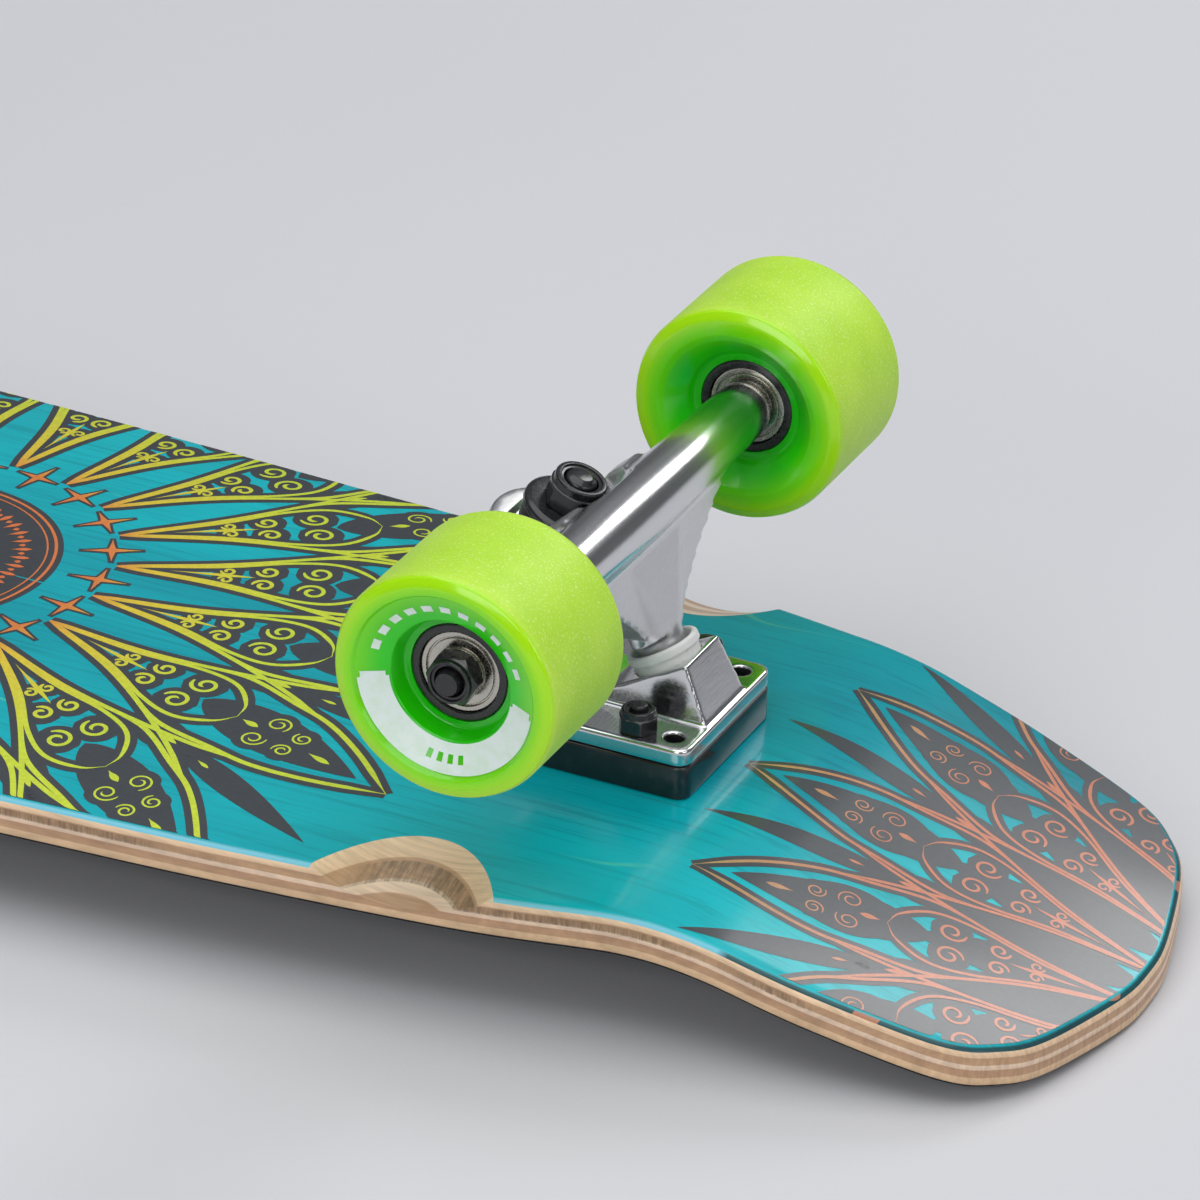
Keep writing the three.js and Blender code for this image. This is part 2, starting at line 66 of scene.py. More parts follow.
# %% [markdown]
# ## Where the trucks are
#
# A truck is the same casting at both ends of the board, turned half round at the nose. Its natural origin is
# the middle of its axle, so two matrices are enough to place every truck piece: one for each end. The loaded
# axles say where those middles are. Shapes are drawn in millimetres, as a maker would, and the matrix turns
# them into metres.

# %% Truck matrices
ENDS = {"tail": 1, "nose": -1}
SIDES = {"left": -1, "right": 1}


def middle_of(node):
    low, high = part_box(node)
    return (low + high) / 2


def truck_matrix(end):
    turn = Matrix.Rotation(0 if end == "tail" else math.pi, 4, "Z")
    return Matrix.Translation(middle_of(f"axle_{end}")) @ turn @ Matrix.Scale(MM, 4)


AXLE_Z = middle_of("axle_tail").z / MM
AXLE_X = middle_of("axle_tail").x / MM
print(f"axles at x +-{AXLE_X:.1f} mm, z {AXLE_Z:.1f} mm")

# %% [markdown]
# ## From numbers to a mesh
#
# Most pieces below are worked out as lists of points and faces, so they all pass through one small function.
# It joins points that fall on each other, turns every face outwards and marks an edge as sharp only where the
# surface really turns a corner. That keeps rounded metal smooth and machined edges crisp.

# %% Make a piece
def new_piece(name, points, faces, matrix=None, sharp=35):
    mesh = bpy.data.meshes.new(name)
    mesh.from_pydata([tuple(float(c) for c in p) for p in points], [], faces)
    work = bmesh.new()
    work.from_mesh(mesh)
    bmesh.ops.remove_doubles(work, verts=work.verts, dist=1e-4)
    bmesh.ops.recalc_face_normals(work, faces=work.faces)
    work.to_mesh(mesh)
    work.free()
    mesh.transform(matrix if matrix is not None else Matrix.Scale(MM, 4))
    piece = bpy.data.objects.new(name, mesh)
    bpy.context.scene.collection.objects.link(piece)
    smooth(piece, sharp)
    return piece


def smooth(piece, sharp=35):
    piece.data.shade_smooth()
    piece.data.set_sharp_from_angle(angle=math.radians(sharp))


def apply_modifiers(piece):
    """Turns what the modifiers make into the piece's own mesh."""
    bpy.context.view_layer.update()
    made = piece.evaluated_get(bpy.context.evaluated_depsgraph_get())
    piece.data = bpy.data.meshes.new_from_object(made)
    piece.modifiers.clear()


def cut(piece, cutters, how="DIFFERENCE"):
    """Cuts or joins other pieces, which are used up."""
    for cutter in cutters:
        step = piece.modifiers.new("cut", "BOOLEAN")
        step.operation = how
        step.solver = "MANIFOLD"
        step.object = cutter
        apply_modifiers(piece)
        bpy.data.objects.remove(cutter)


# %% [markdown]
# ## Materials as recipes
#
# Each finish further down is a short recipe of shader nodes. Wiring nodes by hand takes many lines, so a
# small helper class keeps the recipes readable: it adds a node, links its inputs and gives back its output.
# Patterns use the object's own coordinates. Every piece has its origin at the frame's origin, so a pattern
# stays with its piece when a truck turns or a wheel rolls.

# %% A small kit for shader recipes
class Recipe:
    def __init__(self, name):
        self.material = bpy.data.materials.new(name)
        self.material.use_nodes = True
        self.tree = self.material.node_tree
        self.shader = self.tree.nodes["Principled BSDF"]
        self.place = self.add("ShaderNodeTexCoord", {}, output="Object")

    def add(self, kind, inputs, output=0, **settings):
        node = self.tree.nodes.new(kind)
        for key, value in settings.items():
            setattr(node, key, value)
        for key, value in inputs.items():
            self.feed(node.inputs[key], value)
        return node.outputs[output]

    def feed(self, socket, value):
        if isinstance(value, bpy.types.NodeSocket):
            self.tree.links.new(value, socket)
        else:
            socket.default_value = value

    def math(self, operation, a, b=0.0, c=0.0):
        return self.add("ShaderNodeMath", {0: a, 1: b, 2: c}, operation=operation)

    def grey(self, value):
        return self.add("ShaderNodeCombineColor", {0: value, 1: value, 2: value})

    def distance(self, x, z):
        return self.math("SQRT", self.math("ADD", self.math("MULTIPLY", x, x), self.math("MULTIPLY", z, z)))

    def scaled(self, x, y, z, shift=(0, 0, 0)):
        """The piece's coordinates, stretched. A bigger number means a finer pattern."""
        return self.add("ShaderNodeMapping", {"Vector": self.place, "Scale": (x, y, z), "Location": shift})

    def noise(self, where, scale, detail=3.0, rough=0.5, output="Fac"):
        inputs = {"Vector": where, "Scale": scale, "Detail": detail, "Roughness": rough}
        return self.add("ShaderNodeTexNoise", inputs, output=output)

    def ramp(self, fac, stops, mode="LINEAR"):
        node = self.tree.nodes.new("ShaderNodeValToRGB")
        node.color_ramp.interpolation = mode
        marks = node.color_ramp.elements
        while len(marks) < len(stops):
            marks.new(0.5)
        for mark, (position, color) in zip(marks, stops):
            mark.position = position
            mark.color = (*color, 1) if len(color) == 3 else color
        self.feed(node.inputs[0], fac)
        return node.outputs[0]

    def levels(self, fac, low, high, to_low=0.0, to_high=1.0):
        inputs = {"Value": fac, "From Min": low, "From Max": high, "To Min": to_low, "To Max": to_high}
        return self.add("ShaderNodeMapRange", inputs, clamp=True)

    def mix(self, fac, a, b, blend="MIX"):
        node = self.tree.nodes.new("ShaderNodeMix")
        node.data_type = "RGBA"
        node.blend_type = blend
        self.feed(node.inputs[0], fac)
        self.feed(node.inputs[6], a if not isinstance(a, tuple) else (*a, 1))
        self.feed(node.inputs[7], b if not isinstance(b, tuple) else (*b, 1))
        return node.outputs[2]

    def axis(self, index, where=None):
        split = self.tree.nodes.new("ShaderNodeSeparateXYZ")
        self.feed(split.inputs[0], where or self.place)
        return split.outputs[index]

    def attribute(self, name):
        return self.add("ShaderNodeAttribute", {}, output="Fac", attribute_name=name)

    def bump(self, height, distance, strength=1.0):
        """A relief of that depth in metres."""
        inputs = {"Height": height, "Distance": distance, "Strength": strength}
        self.feed(self.shader.inputs["Normal"], self.add("ShaderNodeBump", inputs))

    def finish(self, **sockets):
        for key, value in sockets.items():
            name = key.replace("_", " ").title().replace("Ior", "IOR")
            value = (*value, 1) if isinstance(value, tuple) and len(value) == 3 else value
            if name in ("Subsurface Radius", "Subsurface Scale"):
                value = value[:3] if isinstance(value, tuple) else value
            self.feed(self.shader.inputs[name], value)
        return self.material


def paint(piece, material, body):
    """Gives a piece its finish and makes it move with its body."""
    piece.data.materials.clear()
    piece.data.materials.append(material)
    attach(piece, body)
    return piece
# %% [markdown]
# ## The deck: glued plies
#
# A deck like this is usually seven maple veneers, glued in a press that bends them all at once: the edges
# rise into a shallow concave and the two ends kick. The outline is then sawn, the edges are rolled with a
# router, and four hollows are sanded for the wheels.
#
# A subdivision surface could follow that shape by eye. A formula is better here, because the frame already
# says how the press bends the wood, and the same formula can later lay the print on the surface. So one
# function gives the height of the printed face at any place, and the mesh follows it.

# %% The press
DECK_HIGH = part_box("deck")[1] / MM
HALF_LENGTH = DECK_HIGH.x
DECK_TOP = DECK_HIGH.z
DECK_THICKNESS = 10.7
FLAT_HALF_WIDTH = 27.5
CONCAVE = 0.00081
KICK_START = 268.6
KICK_SLOPE = 0.297
KICK_BLEND = 16


def face_height(x, y):
    """Height of the printed face, in mm. It takes arrays."""
    across = np.maximum(0, np.abs(y) - FLAT_HALF_WIDTH)
    past = np.abs(x) - KICK_START
    blend = np.clip(past + KICK_BLEND, 0, 2 * KICK_BLEND)
    kick = blend**2 / (4 * KICK_BLEND) + np.maximum(0, past - KICK_BLEND)
    return DECK_TOP - CONCAVE * across**2 - KICK_SLOPE * kick


print(f"printed face from {face_height(HALF_LENGTH, 0):.1f} mm at the tips to {DECK_TOP:.1f} mm")

# %% [markdown]
# The outline is a directional one: fullest a little ahead of the middle and narrower at the tail. Only the
# points that set its character are listed, for one half, and a smooth spline runs through them and through
# their mirror images, so that both tips are round.

# %% The outline
OUTLINE = [
    (371.5, 0), (370, 17), (362.5, 46), (354.5, 60), (341, 70), (308, 77.5), (282, 80.5), (256, 84),
    (215, 91.5), (150, 98), (90, 102), (30, 106), (-30, 109), (-90, 109.5), (-150, 106.5), (-215, 99.5),
    (-256, 93), (-290, 86), (-320, 76), (-346, 59), (-364, 33), (-371.5, 0),
]
OUTLINE_STEPS = 12


def closed_spline(corners, steps):
    """Points on a smooth closed curve through the corners."""
    p = np.array(corners, float)
    before, after, later = np.roll(p, 1, 0), np.roll(p, -1, 0), np.roll(p, -2, 0)
    t = (np.arange(steps) / steps)[None, :, None]
    a, b, c, d = (q[:, None, :] for q in (before, p, after, later))
    curve = 2 * b + (c - a) * t + (2 * a - 5 * b + 4 * c - d) * t**2 + (3 * b - 3 * c + d - a) * t**3
    return (curve / 2).reshape(-1, 2)


mirrored = [(x, -y) for x, y in OUTLINE[-2:0:-1]]
outline = closed_spline(OUTLINE + mirrored, OUTLINE_STEPS)
print("outline points:", len(outline), "widest:", round(2 * outline[:, 1].max(), 1), "mm")

# %% [markdown]
# The deck's mesh is a stack of closed rings. The first rings spread from a line down the middle to the edge
# on the printed face, a few rings roll round the edge, and the last ones return underneath. Grip tape is a
# thin sheet of the same shape, so the same function makes both.

# %% Rings of the pressed sheet
SPINE_HALF = HALF_LENGTH - 75
tangent = np.roll(outline, -1, 0) - np.roll(outline, 1, 0)
outward = np.stack([-tangent[:, 1], tangent[:, 0]], 1)
outward /= np.linalg.norm(outward, axis=1)[:, None]
outward *= np.sign((outward * outline).sum(1))[:, None]
spine = np.stack([np.clip(outline[:, 0], -SPINE_HALF, SPINE_HALF), np.zeros(len(outline))], 1)


def ring(share, inset, drop):
    """One ring: a share of the way from the spine to the edge, set in and down by some mm."""
    flat = spine + (outline - outward * inset - spine) * share
    return np.column_stack([flat, face_height(flat[:, 0], flat[:, 1]) - drop])


def pressed_sheet(name, drop, thickness, inset, rolls, rows):
    """A sheet that follows the press. rolls are the edge radii above and below."""
    shares = np.linspace(0, 1, rows)
    rings = [ring(s, inset + rolls[0], drop) for s in shares]
    for roll, start, sign in ((rolls[0], drop, 1), (rolls[1], drop + thickness, -1)):
        angles = np.radians(np.linspace(0, 90, 7))[1:]
        arc = [ring(1, inset + roll * (1 - math.sin(a)), start + sign * roll * (1 - math.cos(a)))
               for a in angles]
        rings += arc if sign > 0 else [ring(1, inset, start - roll)] + arc[-2::-1]
    rings += [ring(s, inset + rolls[1], drop + thickness) for s in shares[::-1]]
    count = len(outline)
    faces = []
    for r in range(len(rings) - 1):
        for i in range(count):
            j = (i + 1) % count
            faces.append((r * count + i, r * count + j, (r + 1) * count + j, (r + 1) * count + i))
    return new_piece(name, np.concatenate(rings), faces)


deck = pressed_sheet("deck_plies", 0, DECK_THICKNESS, 0, (2.6, 1.2), 30)
print("deck faces before cutting:", len(deck.data.polygons))

# %% [markdown]
# Turned pieces come next, because the wheel wells are the first of many. A lathe profile is a list of corners
# (radius, height), each with a fillet radius if it has one. Real edges are never perfectly sharp, and a small
# fillet is what catches the light, so the fillets are worked out here once for washers, nuts, wheels and pins.

# %% A lathe
def fillet(profile, steps=5):
    """Rounds the corners of a closed profile of (radius, height, fillet)."""
    made = []
    count = len(profile)
    for i, corner in enumerate(profile):
        here = np.array(corner[:2], float)
        size = corner[2] if len(corner) > 2 else 0
        back = np.array(profile[i - 1][:2], float) - here
        ahead = np.array(profile[(i + 1) % count][:2], float) - here
        if size <= 0:
            made.append(here)
            continue
        back_length, ahead_length = np.linalg.norm(back), np.linalg.norm(ahead)
        back, ahead = back / back_length, ahead / ahead_length
        half = math.acos(np.clip(back @ ahead, -1, 1)) / 2
        reach = min(size / math.tan(half), 0.49 * back_length, 0.49 * ahead_length)
        radius = reach * math.tan(half)
        middle = here + (back + ahead) / np.linalg.norm(back + ahead) * radius / math.sin(half)
        start, end = here + back * reach - middle, here + ahead * reach - middle
        turn = math.pi - 2 * half
        for k in range(steps + 1):
            t = k / steps
            swing = start * math.sin((1 - t) * turn) + end * math.sin(t * turn)
            made.append(middle + swing / math.sin(turn))
    return made


def turned(name, profile, matrix, steps=72, sharp=35):
    """A closed lathe shape about its own Z axis."""
    points = fillet(profile)
    rows = len(points)
    angles = np.arange(steps) / steps * 2 * math.pi
    verts = [(r * math.cos(a), r * math.sin(a), h) for a in angles for r, h in points]
    faces = []
    for s in range(steps):
        for i in range(rows):
            here, there = s * rows, (s + 1) % steps * rows
            faces.append((here + i, there + i, there + (i + 1) % rows, here + (i + 1) % rows))
    return new_piece(name, verts, faces, matrix, sharp)


# %% [markdown]
# Each well is one pass of a sanding drum, lying across the board and tipped so that it bites only near the
# edge. A boolean with a drum gives the true curve where the two surfaces meet.

# %% Sand the wheel wells
WELL_RADIUS = 53
WELL_TILT = math.radians(22)
WELL_X = AXLE_X - 17
WELL_INNER_Y = 67
BOLT_ROWS = (13.7, -40.3)
BOLT_HALF_SPACING = 20.64


def drum(side, end):
    heights = np.linspace(-60, 100, 33)
    profile = [(WELL_RADIUS, h) for h in heights] + [(0, 100), (0, -60)]
    place = Matrix.Translation((end * WELL_X, side * WELL_INNER_Y, DECK_TOP))
    lean = Matrix.Rotation(-side * WELL_TILT, 4, "X") @ Matrix.Translation((0, 0, WELL_RADIUS))
    lay = Matrix.Rotation(-side * math.pi / 2, 4, "X")
    return turned("drum", profile, Matrix.Scale(MM, 4) @ place @ lean @ lay, 240)


cut(deck, [drum(side, end) for side in (1, -1) for end in (1, -1)])
print("deck faces with its wells:", len(deck.data.polygons))

# %% [markdown]
# The plies show on the sawn edge and as contour bands inside each well. Both come from one number: how deep
# below the printed face a point lies. A second number tells the sanded wood from the stained face. They are
# stored on the points, where the finish can read them.

# %% Depth below the face
def well_height(x, y):
    """Height of the sanding drum's surface, in mm. It takes arrays."""
    along = np.clip(np.abs(x) - WELL_X, -WELL_RADIUS, WELL_RADIUS)
    rise = WELL_RADIUS - np.sqrt(WELL_RADIUS**2 - along**2)
    return DECK_TOP - (np.abs(y) - WELL_INNER_Y) * math.tan(WELL_TILT) + rise / math.cos(WELL_TILT)


def write_attribute(piece, name, values):
    attribute = piece.data.attributes.new(name, "FLOAT", "POINT")
    attribute.data.foreach_set("value", np.asarray(values, np.float32))


places = np.array([v.co for v in deck.data.vertices]) / MM
face = face_height(places[:, 0], places[:, 1])
write_attribute(deck, "depth", face - places[:, 2])
write_attribute(deck, "sanded", face - well_height(places[:, 0], places[:, 1]))
smooth(deck, 25)
print("deepest point below the face:", round(float((face - places[:, 2]).max()), 2), "mm")

# %% [markdown]
# ## Stained maple under gloss lacquer
#
# The printed face is maple stained teal: the grain still shows through, as fine darker pores and a few pale
# hairline streaks along the board where the stain didn't take. A clear lacquer makes it gloss. The rolled edge
# thins the stain, so a pale-blue line shows there, or slate and orange where the tips' print runs over it.
# Below it the plies lie bare: face plies light, cross plies brown, with the odd dark one. One recipe holds it
# all, because all of it is one piece of wood.

# %% The deck's finish
wood = Recipe("stained_maple")
depth = wood.attribute("depth")
sanded = wood.attribute("sanded")
grain = wood.noise(wood.scaled(6, 160, 60), 4.0, 5.0, 0.65)
cloud = wood.noise(wood.scaled(3, 9, 9), 1.6, 3.0)
stain = wood.ramp(cloud, [(0.3, (0.001, 0.20, 0.26)), (0.5, (0.001, 0.35, 0.42)), (0.72, (0.002, 0.52, 0.58))])
pores = wood.levels(grain, 0.36, 0.5, 0.80, 1.0)
stain = wood.mix(1.0, stain, wood.grey(pores), "MULTIPLY")
wander = wood.noise(wood.scaled(7, 14, 14), 1.0, 2.0)
streak_place = wood.math("ADD", wood.axis(1, wood.scaled(1, 1, 1)), wood.math("MULTIPLY", wander, 0.10))
streak_wave = wood.math("PINGPONG", streak_place, 0.031)
streaks = wood.levels(streak_wave, 0.00025, 0.0007, 1.0, 0.0)
broken = wood.levels(wood.noise(wood.scaled(9, 30, 9), 2.0, 4.0), 0.5, 0.62)
streaks = wood.math("MULTIPLY", streaks, wood.math("MULTIPLY", broken, 0.5))
stain = wood.mix(streaks, stain, (0.10, 0.62, 0.40))

PLIES = [
    (0.0, (0.86, 0.64, 0.42)), (0.20, (0.80, 0.56, 0.36)), (0.215, (0.54, 0.33, 0.19)),
    (0.40, (0.58, 0.36, 0.21)), (0.415, (0.86, 0.66, 0.49)), (0.53, (0.80, 0.58, 0.42)),
    (0.545, (0.52, 0.31, 0.18)), (0.74, (0.56, 0.34, 0.20)), (0.755, (0.78, 0.54, 0.33)),
    (0.985, (0.70, 0.47, 0.27)), (1.0, (0.34, 0.21, 0.12)),
]
ply = wood.ramp(wood.levels(depth, 0, DECK_THICKNESS), PLIES)
fibre = wood.noise(wood.scaled(40, 900, 260), 1.0, 3.0, 0.7)
fibre = wood.levels(fibre, 0.3, 0.7, 0.80, 1.14)
ply = wood.mix(1.0, ply, wood.grey(fibre), "MULTIPLY")
second_ply = wood.math("MULTIPLY", wood.levels(depth, 2.45, 2.65), wood.levels(depth, 4.75, 4.6))
dark_patch = wood.levels(wood.noise(wood.scaled(14, 3, 3), 1.0, 2.0), 0.46, 0.56)
cross_fibre = wood.levels(wood.noise(wood.scaled(900, 120, 120), 1.0, 3.0, 0.7), 0.35, 0.62, 0.25, 1.0)
dark_ply = wood.math("MULTIPLY", wood.math("MULTIPLY", second_ply, dark_patch), cross_fibre)
ply = wood.mix(wood.math("MULTIPLY", dark_ply, 0.85), ply, (0.20, 0.13, 0.075))

bare = wood.math("MAXIMUM", wood.levels(depth, 0.95, 1.0), wood.levels(sanded, 0.0, 0.02))
edge_line = wood.levels(depth, 0.10, 0.35)
at_tip = wood.levels(wood.math("ABSOLUTE", wood.axis(0)), 0.284, 0.287)
RIM_INKS = [(0, (0.02, 0.024, 0.028)), (0.6, (0.55, 0.17, 0.06))]
rim_print = wood.ramp(wood.noise(wood.scaled(1, 1, 0), 70, 1.0), RIM_INKS, "CONSTANT")
rim = wood.mix(at_tip, (0.22, 0.62, 0.78), rim_print)
stain = wood.mix(wood.math("MULTIPLY", edge_line, 0.85), stain, rim)
color = wood.mix(bare, stain, ply)
gloss = wood.levels(bare, 0, 1, 0.24, 0.5)
wood.bump(grain, 0.00008, 0.5)
deck_material = wood.finish(base_color=color, roughness=gloss, coat_weight=0.3, coat_roughness=0.1,
                            specular_ior_level=0.25)
paint(deck, deck_material, "board")
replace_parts(deck, "deck")

# %% [markdown]
# ## Urethane wheels
#
# A wheel is urethane poured round a hard core. The tread is ground on a lathe, which leaves it pale, matt and
# finely lined. The lip and the bowl keep the gloss of the mould. The urethane is translucent, so thin and lit
# parts glow yellow green while the deep bowl turns a saturated green; that glow is painted into the colour by
# radius, paler towards the lip, and some real light is also scattered below the surface.
#
# True refraction would be slow and would hide the colour, so the wheel takes two finishes on one mesh: the
# tread, and the moulded bowl and lips with some light scattered below the surface. Which face gets which is
# decided by its place on the lathe profile. The white print is a thin film of its own over the outer lip.

# %% Wheel frame
WHEELS = [(end, side) for end in ENDS for side in SIDES]
OUTER_LIP = 22.7
INNER_LIP = 19.8
WHEEL_RADIUS = 30.6
WHEEL_Y = abs(middle_of("core_tail_left").y) / MM


def wheel_matrix(end, side):
    """A frame at the middle of a wheel's bearings, with Z along the axle and out of the board's side."""
    shift = Matrix.Translation((0, SIDES[side] * WHEEL_Y, 0))
    face_out = Matrix.Rotation(math.pi if SIDES[side] > 0 else 0, 4, "Z")
    return truck_matrix(end) @ shift @ face_out @ Matrix.Rotation(math.pi / 2, 4, "X")


def choose_finish(piece, matrix, rule):
    """Sets each face's finish from its radius and height on the lathe."""
    back_to_lathe = matrix.inverted()
    for face in piece.data.polygons:
        p = back_to_lathe @ face.center
        face.material_index = rule(math.hypot(p.x, p.y), p.z)


# %% Urethane finishes
def moulded_urethane(name, end, side):
    """Glossy and deep. The glow of thin lit urethane is painted in: the colour turns from yellow green at the
    lip to pure green down in the bowl.
    """
    recipe = Recipe(name)
    centre = wheel_matrix(end, side).translation
    local = recipe.add("ShaderNodeVectorMath", {0: recipe.place, 1: centre}, operation="SUBTRACT")
    x, z = recipe.axis(0, local), recipe.axis(2, local)
    radius = recipe.distance(x, z)
    # painted glow: paler and yellower towards the lip, where lit thin urethane glows, deep green in the bowl
    deep = recipe.levels(radius, 0.0135, 0.0285)
    color = recipe.ramp(deep, [(0.0, (0.008, 0.62, 0.001)), (0.35, (0.025, 0.70, 0.001)),
                               (0.75, (0.20, 0.78, 0.001)), (1.0, (0.44, 0.84, 0.001))])
    recipe.bump(recipe.noise(recipe.scaled(1, 1, 1), 900, 2), 0.00002, 0.3)
    return recipe.finish(base_color=color, roughness=0.16, subsurface_weight=0.5, subsurface_scale=0.007,
                         subsurface_radius=(0.4, 1.0, 0.05), coat_weight=0.25, coat_roughness=0.06)


def ground_tread():
    """Paler and matt, with the fine lines of the grinding wheel and a few bright specks."""
    recipe = Recipe("ground_tread")
    lines = recipe.noise(recipe.scaled(40, 2600, 40), 1.0, 2.0)
    specks = recipe.noise(recipe.scaled(1, 1, 1), 1500, 2.0, 0.8)
    bright = recipe.levels(specks, 0.57, 0.66)
    tone = recipe.levels(recipe.noise(recipe.scaled(1, 1, 1), 60, 3.0), 0.3, 0.7)
    color = recipe.mix(tone, (0.45, 0.77, 0.035), (0.54, 0.85, 0.055))
    color = recipe.mix(recipe.math("MULTIPLY", bright, 0.6), color, (0.80, 0.95, 0.38))
    recipe.bump(recipe.math("ADD", lines, recipe.math("MULTIPLY", specks, 0.7)), 0.00009, 0.8)
    return recipe.finish(base_color=color, roughness=0.5, subsurface_weight=0.2, subsurface_scale=0.004,
                         subsurface_radius=(0.5, 1.0, 0.05))


tread_material = ground_tread()
TREAD, BOWL = 0, 1

# %% Cast the wheels
TYRE = [
    (13.45, -12.6), (15.4, -12.6, 1.2), (16.6, -14.2, 1.5), (21.6, -19.0, 1.2), (23.4, -19.8, 1.4),
    (27.6, -19.8, 2.4), (30.0, -18.6, 1.2), (WHEEL_RADIUS, -16.9, 0.6),
    (WHEEL_RADIUS, 19.8, 0.6), (29.9, 21.6, 1.4), (27.4, OUTER_LIP, 2.4), (25.2, 22.5, 0.8),
    (24.5, 21.3, 0.5),
    (16.4, 17.7, 1.0), (15.3, 12.6, 0.8), (13.45, 12.6),
]


def cast_wheel(end, side):
    name = f"{end}_{side}"
    matrix = wheel_matrix(end, side)
    wheel = turned(f"wheel_{name}", TYRE, matrix, 160, 30)
    paint(wheel, tread_material, f"wheel_{name}")
    wheel.data.materials.append(moulded_urethane(f"moulded_urethane_{name}", end, side))
    choose_finish(wheel, matrix, lambda r, h: TREAD if r > WHEEL_RADIUS - 0.3 else BOWL)
    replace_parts(wheel, f"tyre_{name}")


for end, side in WHEELS:
    cast_wheel(end, side)
print("wheel width:", OUTER_LIP + INNER_LIP, "mm, diameter:", 2 * WHEEL_RADIUS, "mm")

# %% [markdown]
# The face is printed with a white ring on its cone. A film that thin needs no thickness of its own, but as a
# separate skin it keeps a crisp edge at any distance, where a painted pattern would blur. The ring here is a
# plain design: a solid crescent with a few small windows, and a dashed arc that closes the circle.

# %% Print on a wheel's face
def ring_patches(arcs, inner, outer, lift):
    """Flat patches on a cone. arcs are (start, end, inner share, outer share); angles in degrees."""
    points, faces = [], []
    for start, end, low, high in arcs:
        steps = max(2, int(abs(end - start) / 2) + 1)
        first = len(points)
        for i in range(steps):
            a = math.radians(start + (end - start) * i / (steps - 1))
            for share in (low, high):
                r = inner[0] + (outer[0] - inner[0]) * share
                h = inner[1] + (outer[1] - inner[1]) * share + lift
                points.append((r * math.cos(a), r * math.sin(a), h))
        for i in range(steps - 1):
            k = first + 2 * i
            faces.append((k, k + 1, k + 3, k + 2))
    return points, faces


CONE_INNER = (16.9, 17.92)
CONE_OUTER = (24.2, 21.17)
FILM_LIFT = 0.05


def print_arcs():
    """A crescent with a short row of windows, and a dashed arc that closes the ring."""
    windows = [(-104 + 8 * k, -100 + 8 * k) for k in range(4)]
    edges = [-172] + [a for pair in windows for a in pair] + [-8]
    arcs = [(edges[k], edges[k + 1], 0.36, 0.66) for k in range(0, len(edges), 2)]
    arcs += [(-172, -8, 0.0, 0.36), (-172, -8, 0.66, 1.0), (-176, -172, 0.1, 0.9), (-8, -4, 0.1, 0.9)]
    arcs += [(a, a + 8, 0.36, 0.62) for a in range(18, 160, 14)]
    return arcs


ink = Recipe("white_ink")
wear = ink.noise(ink.scaled(1, 1, 1), 260, 4.0, 0.7)
ink_color = ink.mix(ink.levels(wear, 0.45, 0.75), (0.80, 0.90, 0.86), (0.66, 0.84, 0.66))
ink_material = ink.finish(base_color=ink_color, roughness=0.3)
for end, side in WHEELS:
    points, faces = ring_patches(print_arcs(), CONE_INNER, CONE_OUTER, FILM_LIFT)
    film = new_piece(f"wheel_print_{end}_{side}", points, faces, wheel_matrix(end, side))
    paint(film, ink_material, f"wheel_{end}_{side}")
print("print patches per wheel:", len(print_arcs()))

# %% [markdown]
# ## Cores and ball bearings
#
# Each wheel's core is black plastic with a seat at both ends for a standard 22 mm bearing. A bearing shows
# three things: the ground face of its outer ring, a pressed shield set a little below it, and the inner ring
# that the nut clamps. Turned on one profile, the steps between them throw the fine rings of light that make a
# bearing look like a bearing.

# %% Black plastic and bright steel
def black_finish(name, roughness, grit_scale, grit_depth):
    recipe = Recipe(name)
    grit = recipe.noise(recipe.scaled(1, 1, 1), grit_scale, 3.0, 0.6)
    tone = recipe.mix(recipe.levels(grit, 0.35, 0.7), (0.008, 0.008, 0.009), (0.020, 0.020, 0.022))
    recipe.bump(grit, grit_depth, 0.6)
    rough = recipe.levels(grit, 0.3, 0.7, roughness * 0.75, roughness * 1.25)
    return recipe.finish(base_color=tone, roughness=rough, coat_weight=0.25, coat_roughness=0.15)


def bright_steel(name, base, roughness):
    recipe = Recipe(name)
    brush = recipe.noise(recipe.scaled(1, 0.1, 1), 2200, 2.0)
    rough = recipe.levels(brush, 0.3, 0.7, roughness * 0.7, roughness * 1.4)
    tone = recipe.mix(recipe.levels(brush, 0.3, 0.7), tuple(0.88 * c for c in base), base)
    recipe.bump(brush, 0.00002, 0.4)
    return recipe.finish(base_color=tone, metallic=1.0, roughness=rough)


core_material = black_finish("core_plastic_black", 0.28, 700, 0.00003)
bearing_material = bright_steel("bearing_steel", (0.56, 0.53, 0.47), 0.24)
axle_material = bright_steel("axle_steel", (0.62, 0.63, 0.66), 0.24)
black_steel_material = black_finish("black_oxide", 0.22, 900, 0.00004)

# %% Cores, bearings, spacers and speed washers
BEARING_WIDTH = 7
SPACER_HALF = 5
CORE = [
    (11.08, -12.75, 0.3), (13.4, -12.75, 0.7), (13.4, 12.75, 0.7), (11.08, 12.75, 0.3), (11.08, 4.9),
    (8.6, 4.9),
    (8.6, -4.9), (11.08, -4.9),
]
BEARING = [
    (4.05, 0, 0.3), (11.0, 0, 0.5), (11.0, 7.0, 0.45), (9.55, 7.0, 0.12), (9.4, 6.3), (9.1, 6.3),
    (8.95, 6.72, 0.15),
    (6.75, 6.6, 0.15), (6.6, 6.25), (6.3, 6.25), (6.2, 7.0, 0.15), (4.05, 7.0, 0.35),
]
SPEED_WASHER = [(4.1, 0, 0.1), (6.2, 0, 0.2), (6.2, 1.05, 0.2), (4.1, 1.05, 0.1)]
SPACER = [(4.15, -4.9, 0.2), (5.4, -4.9, 0.2), (5.4, 4.9, 0.2), (4.15, 4.9, 0.2)]


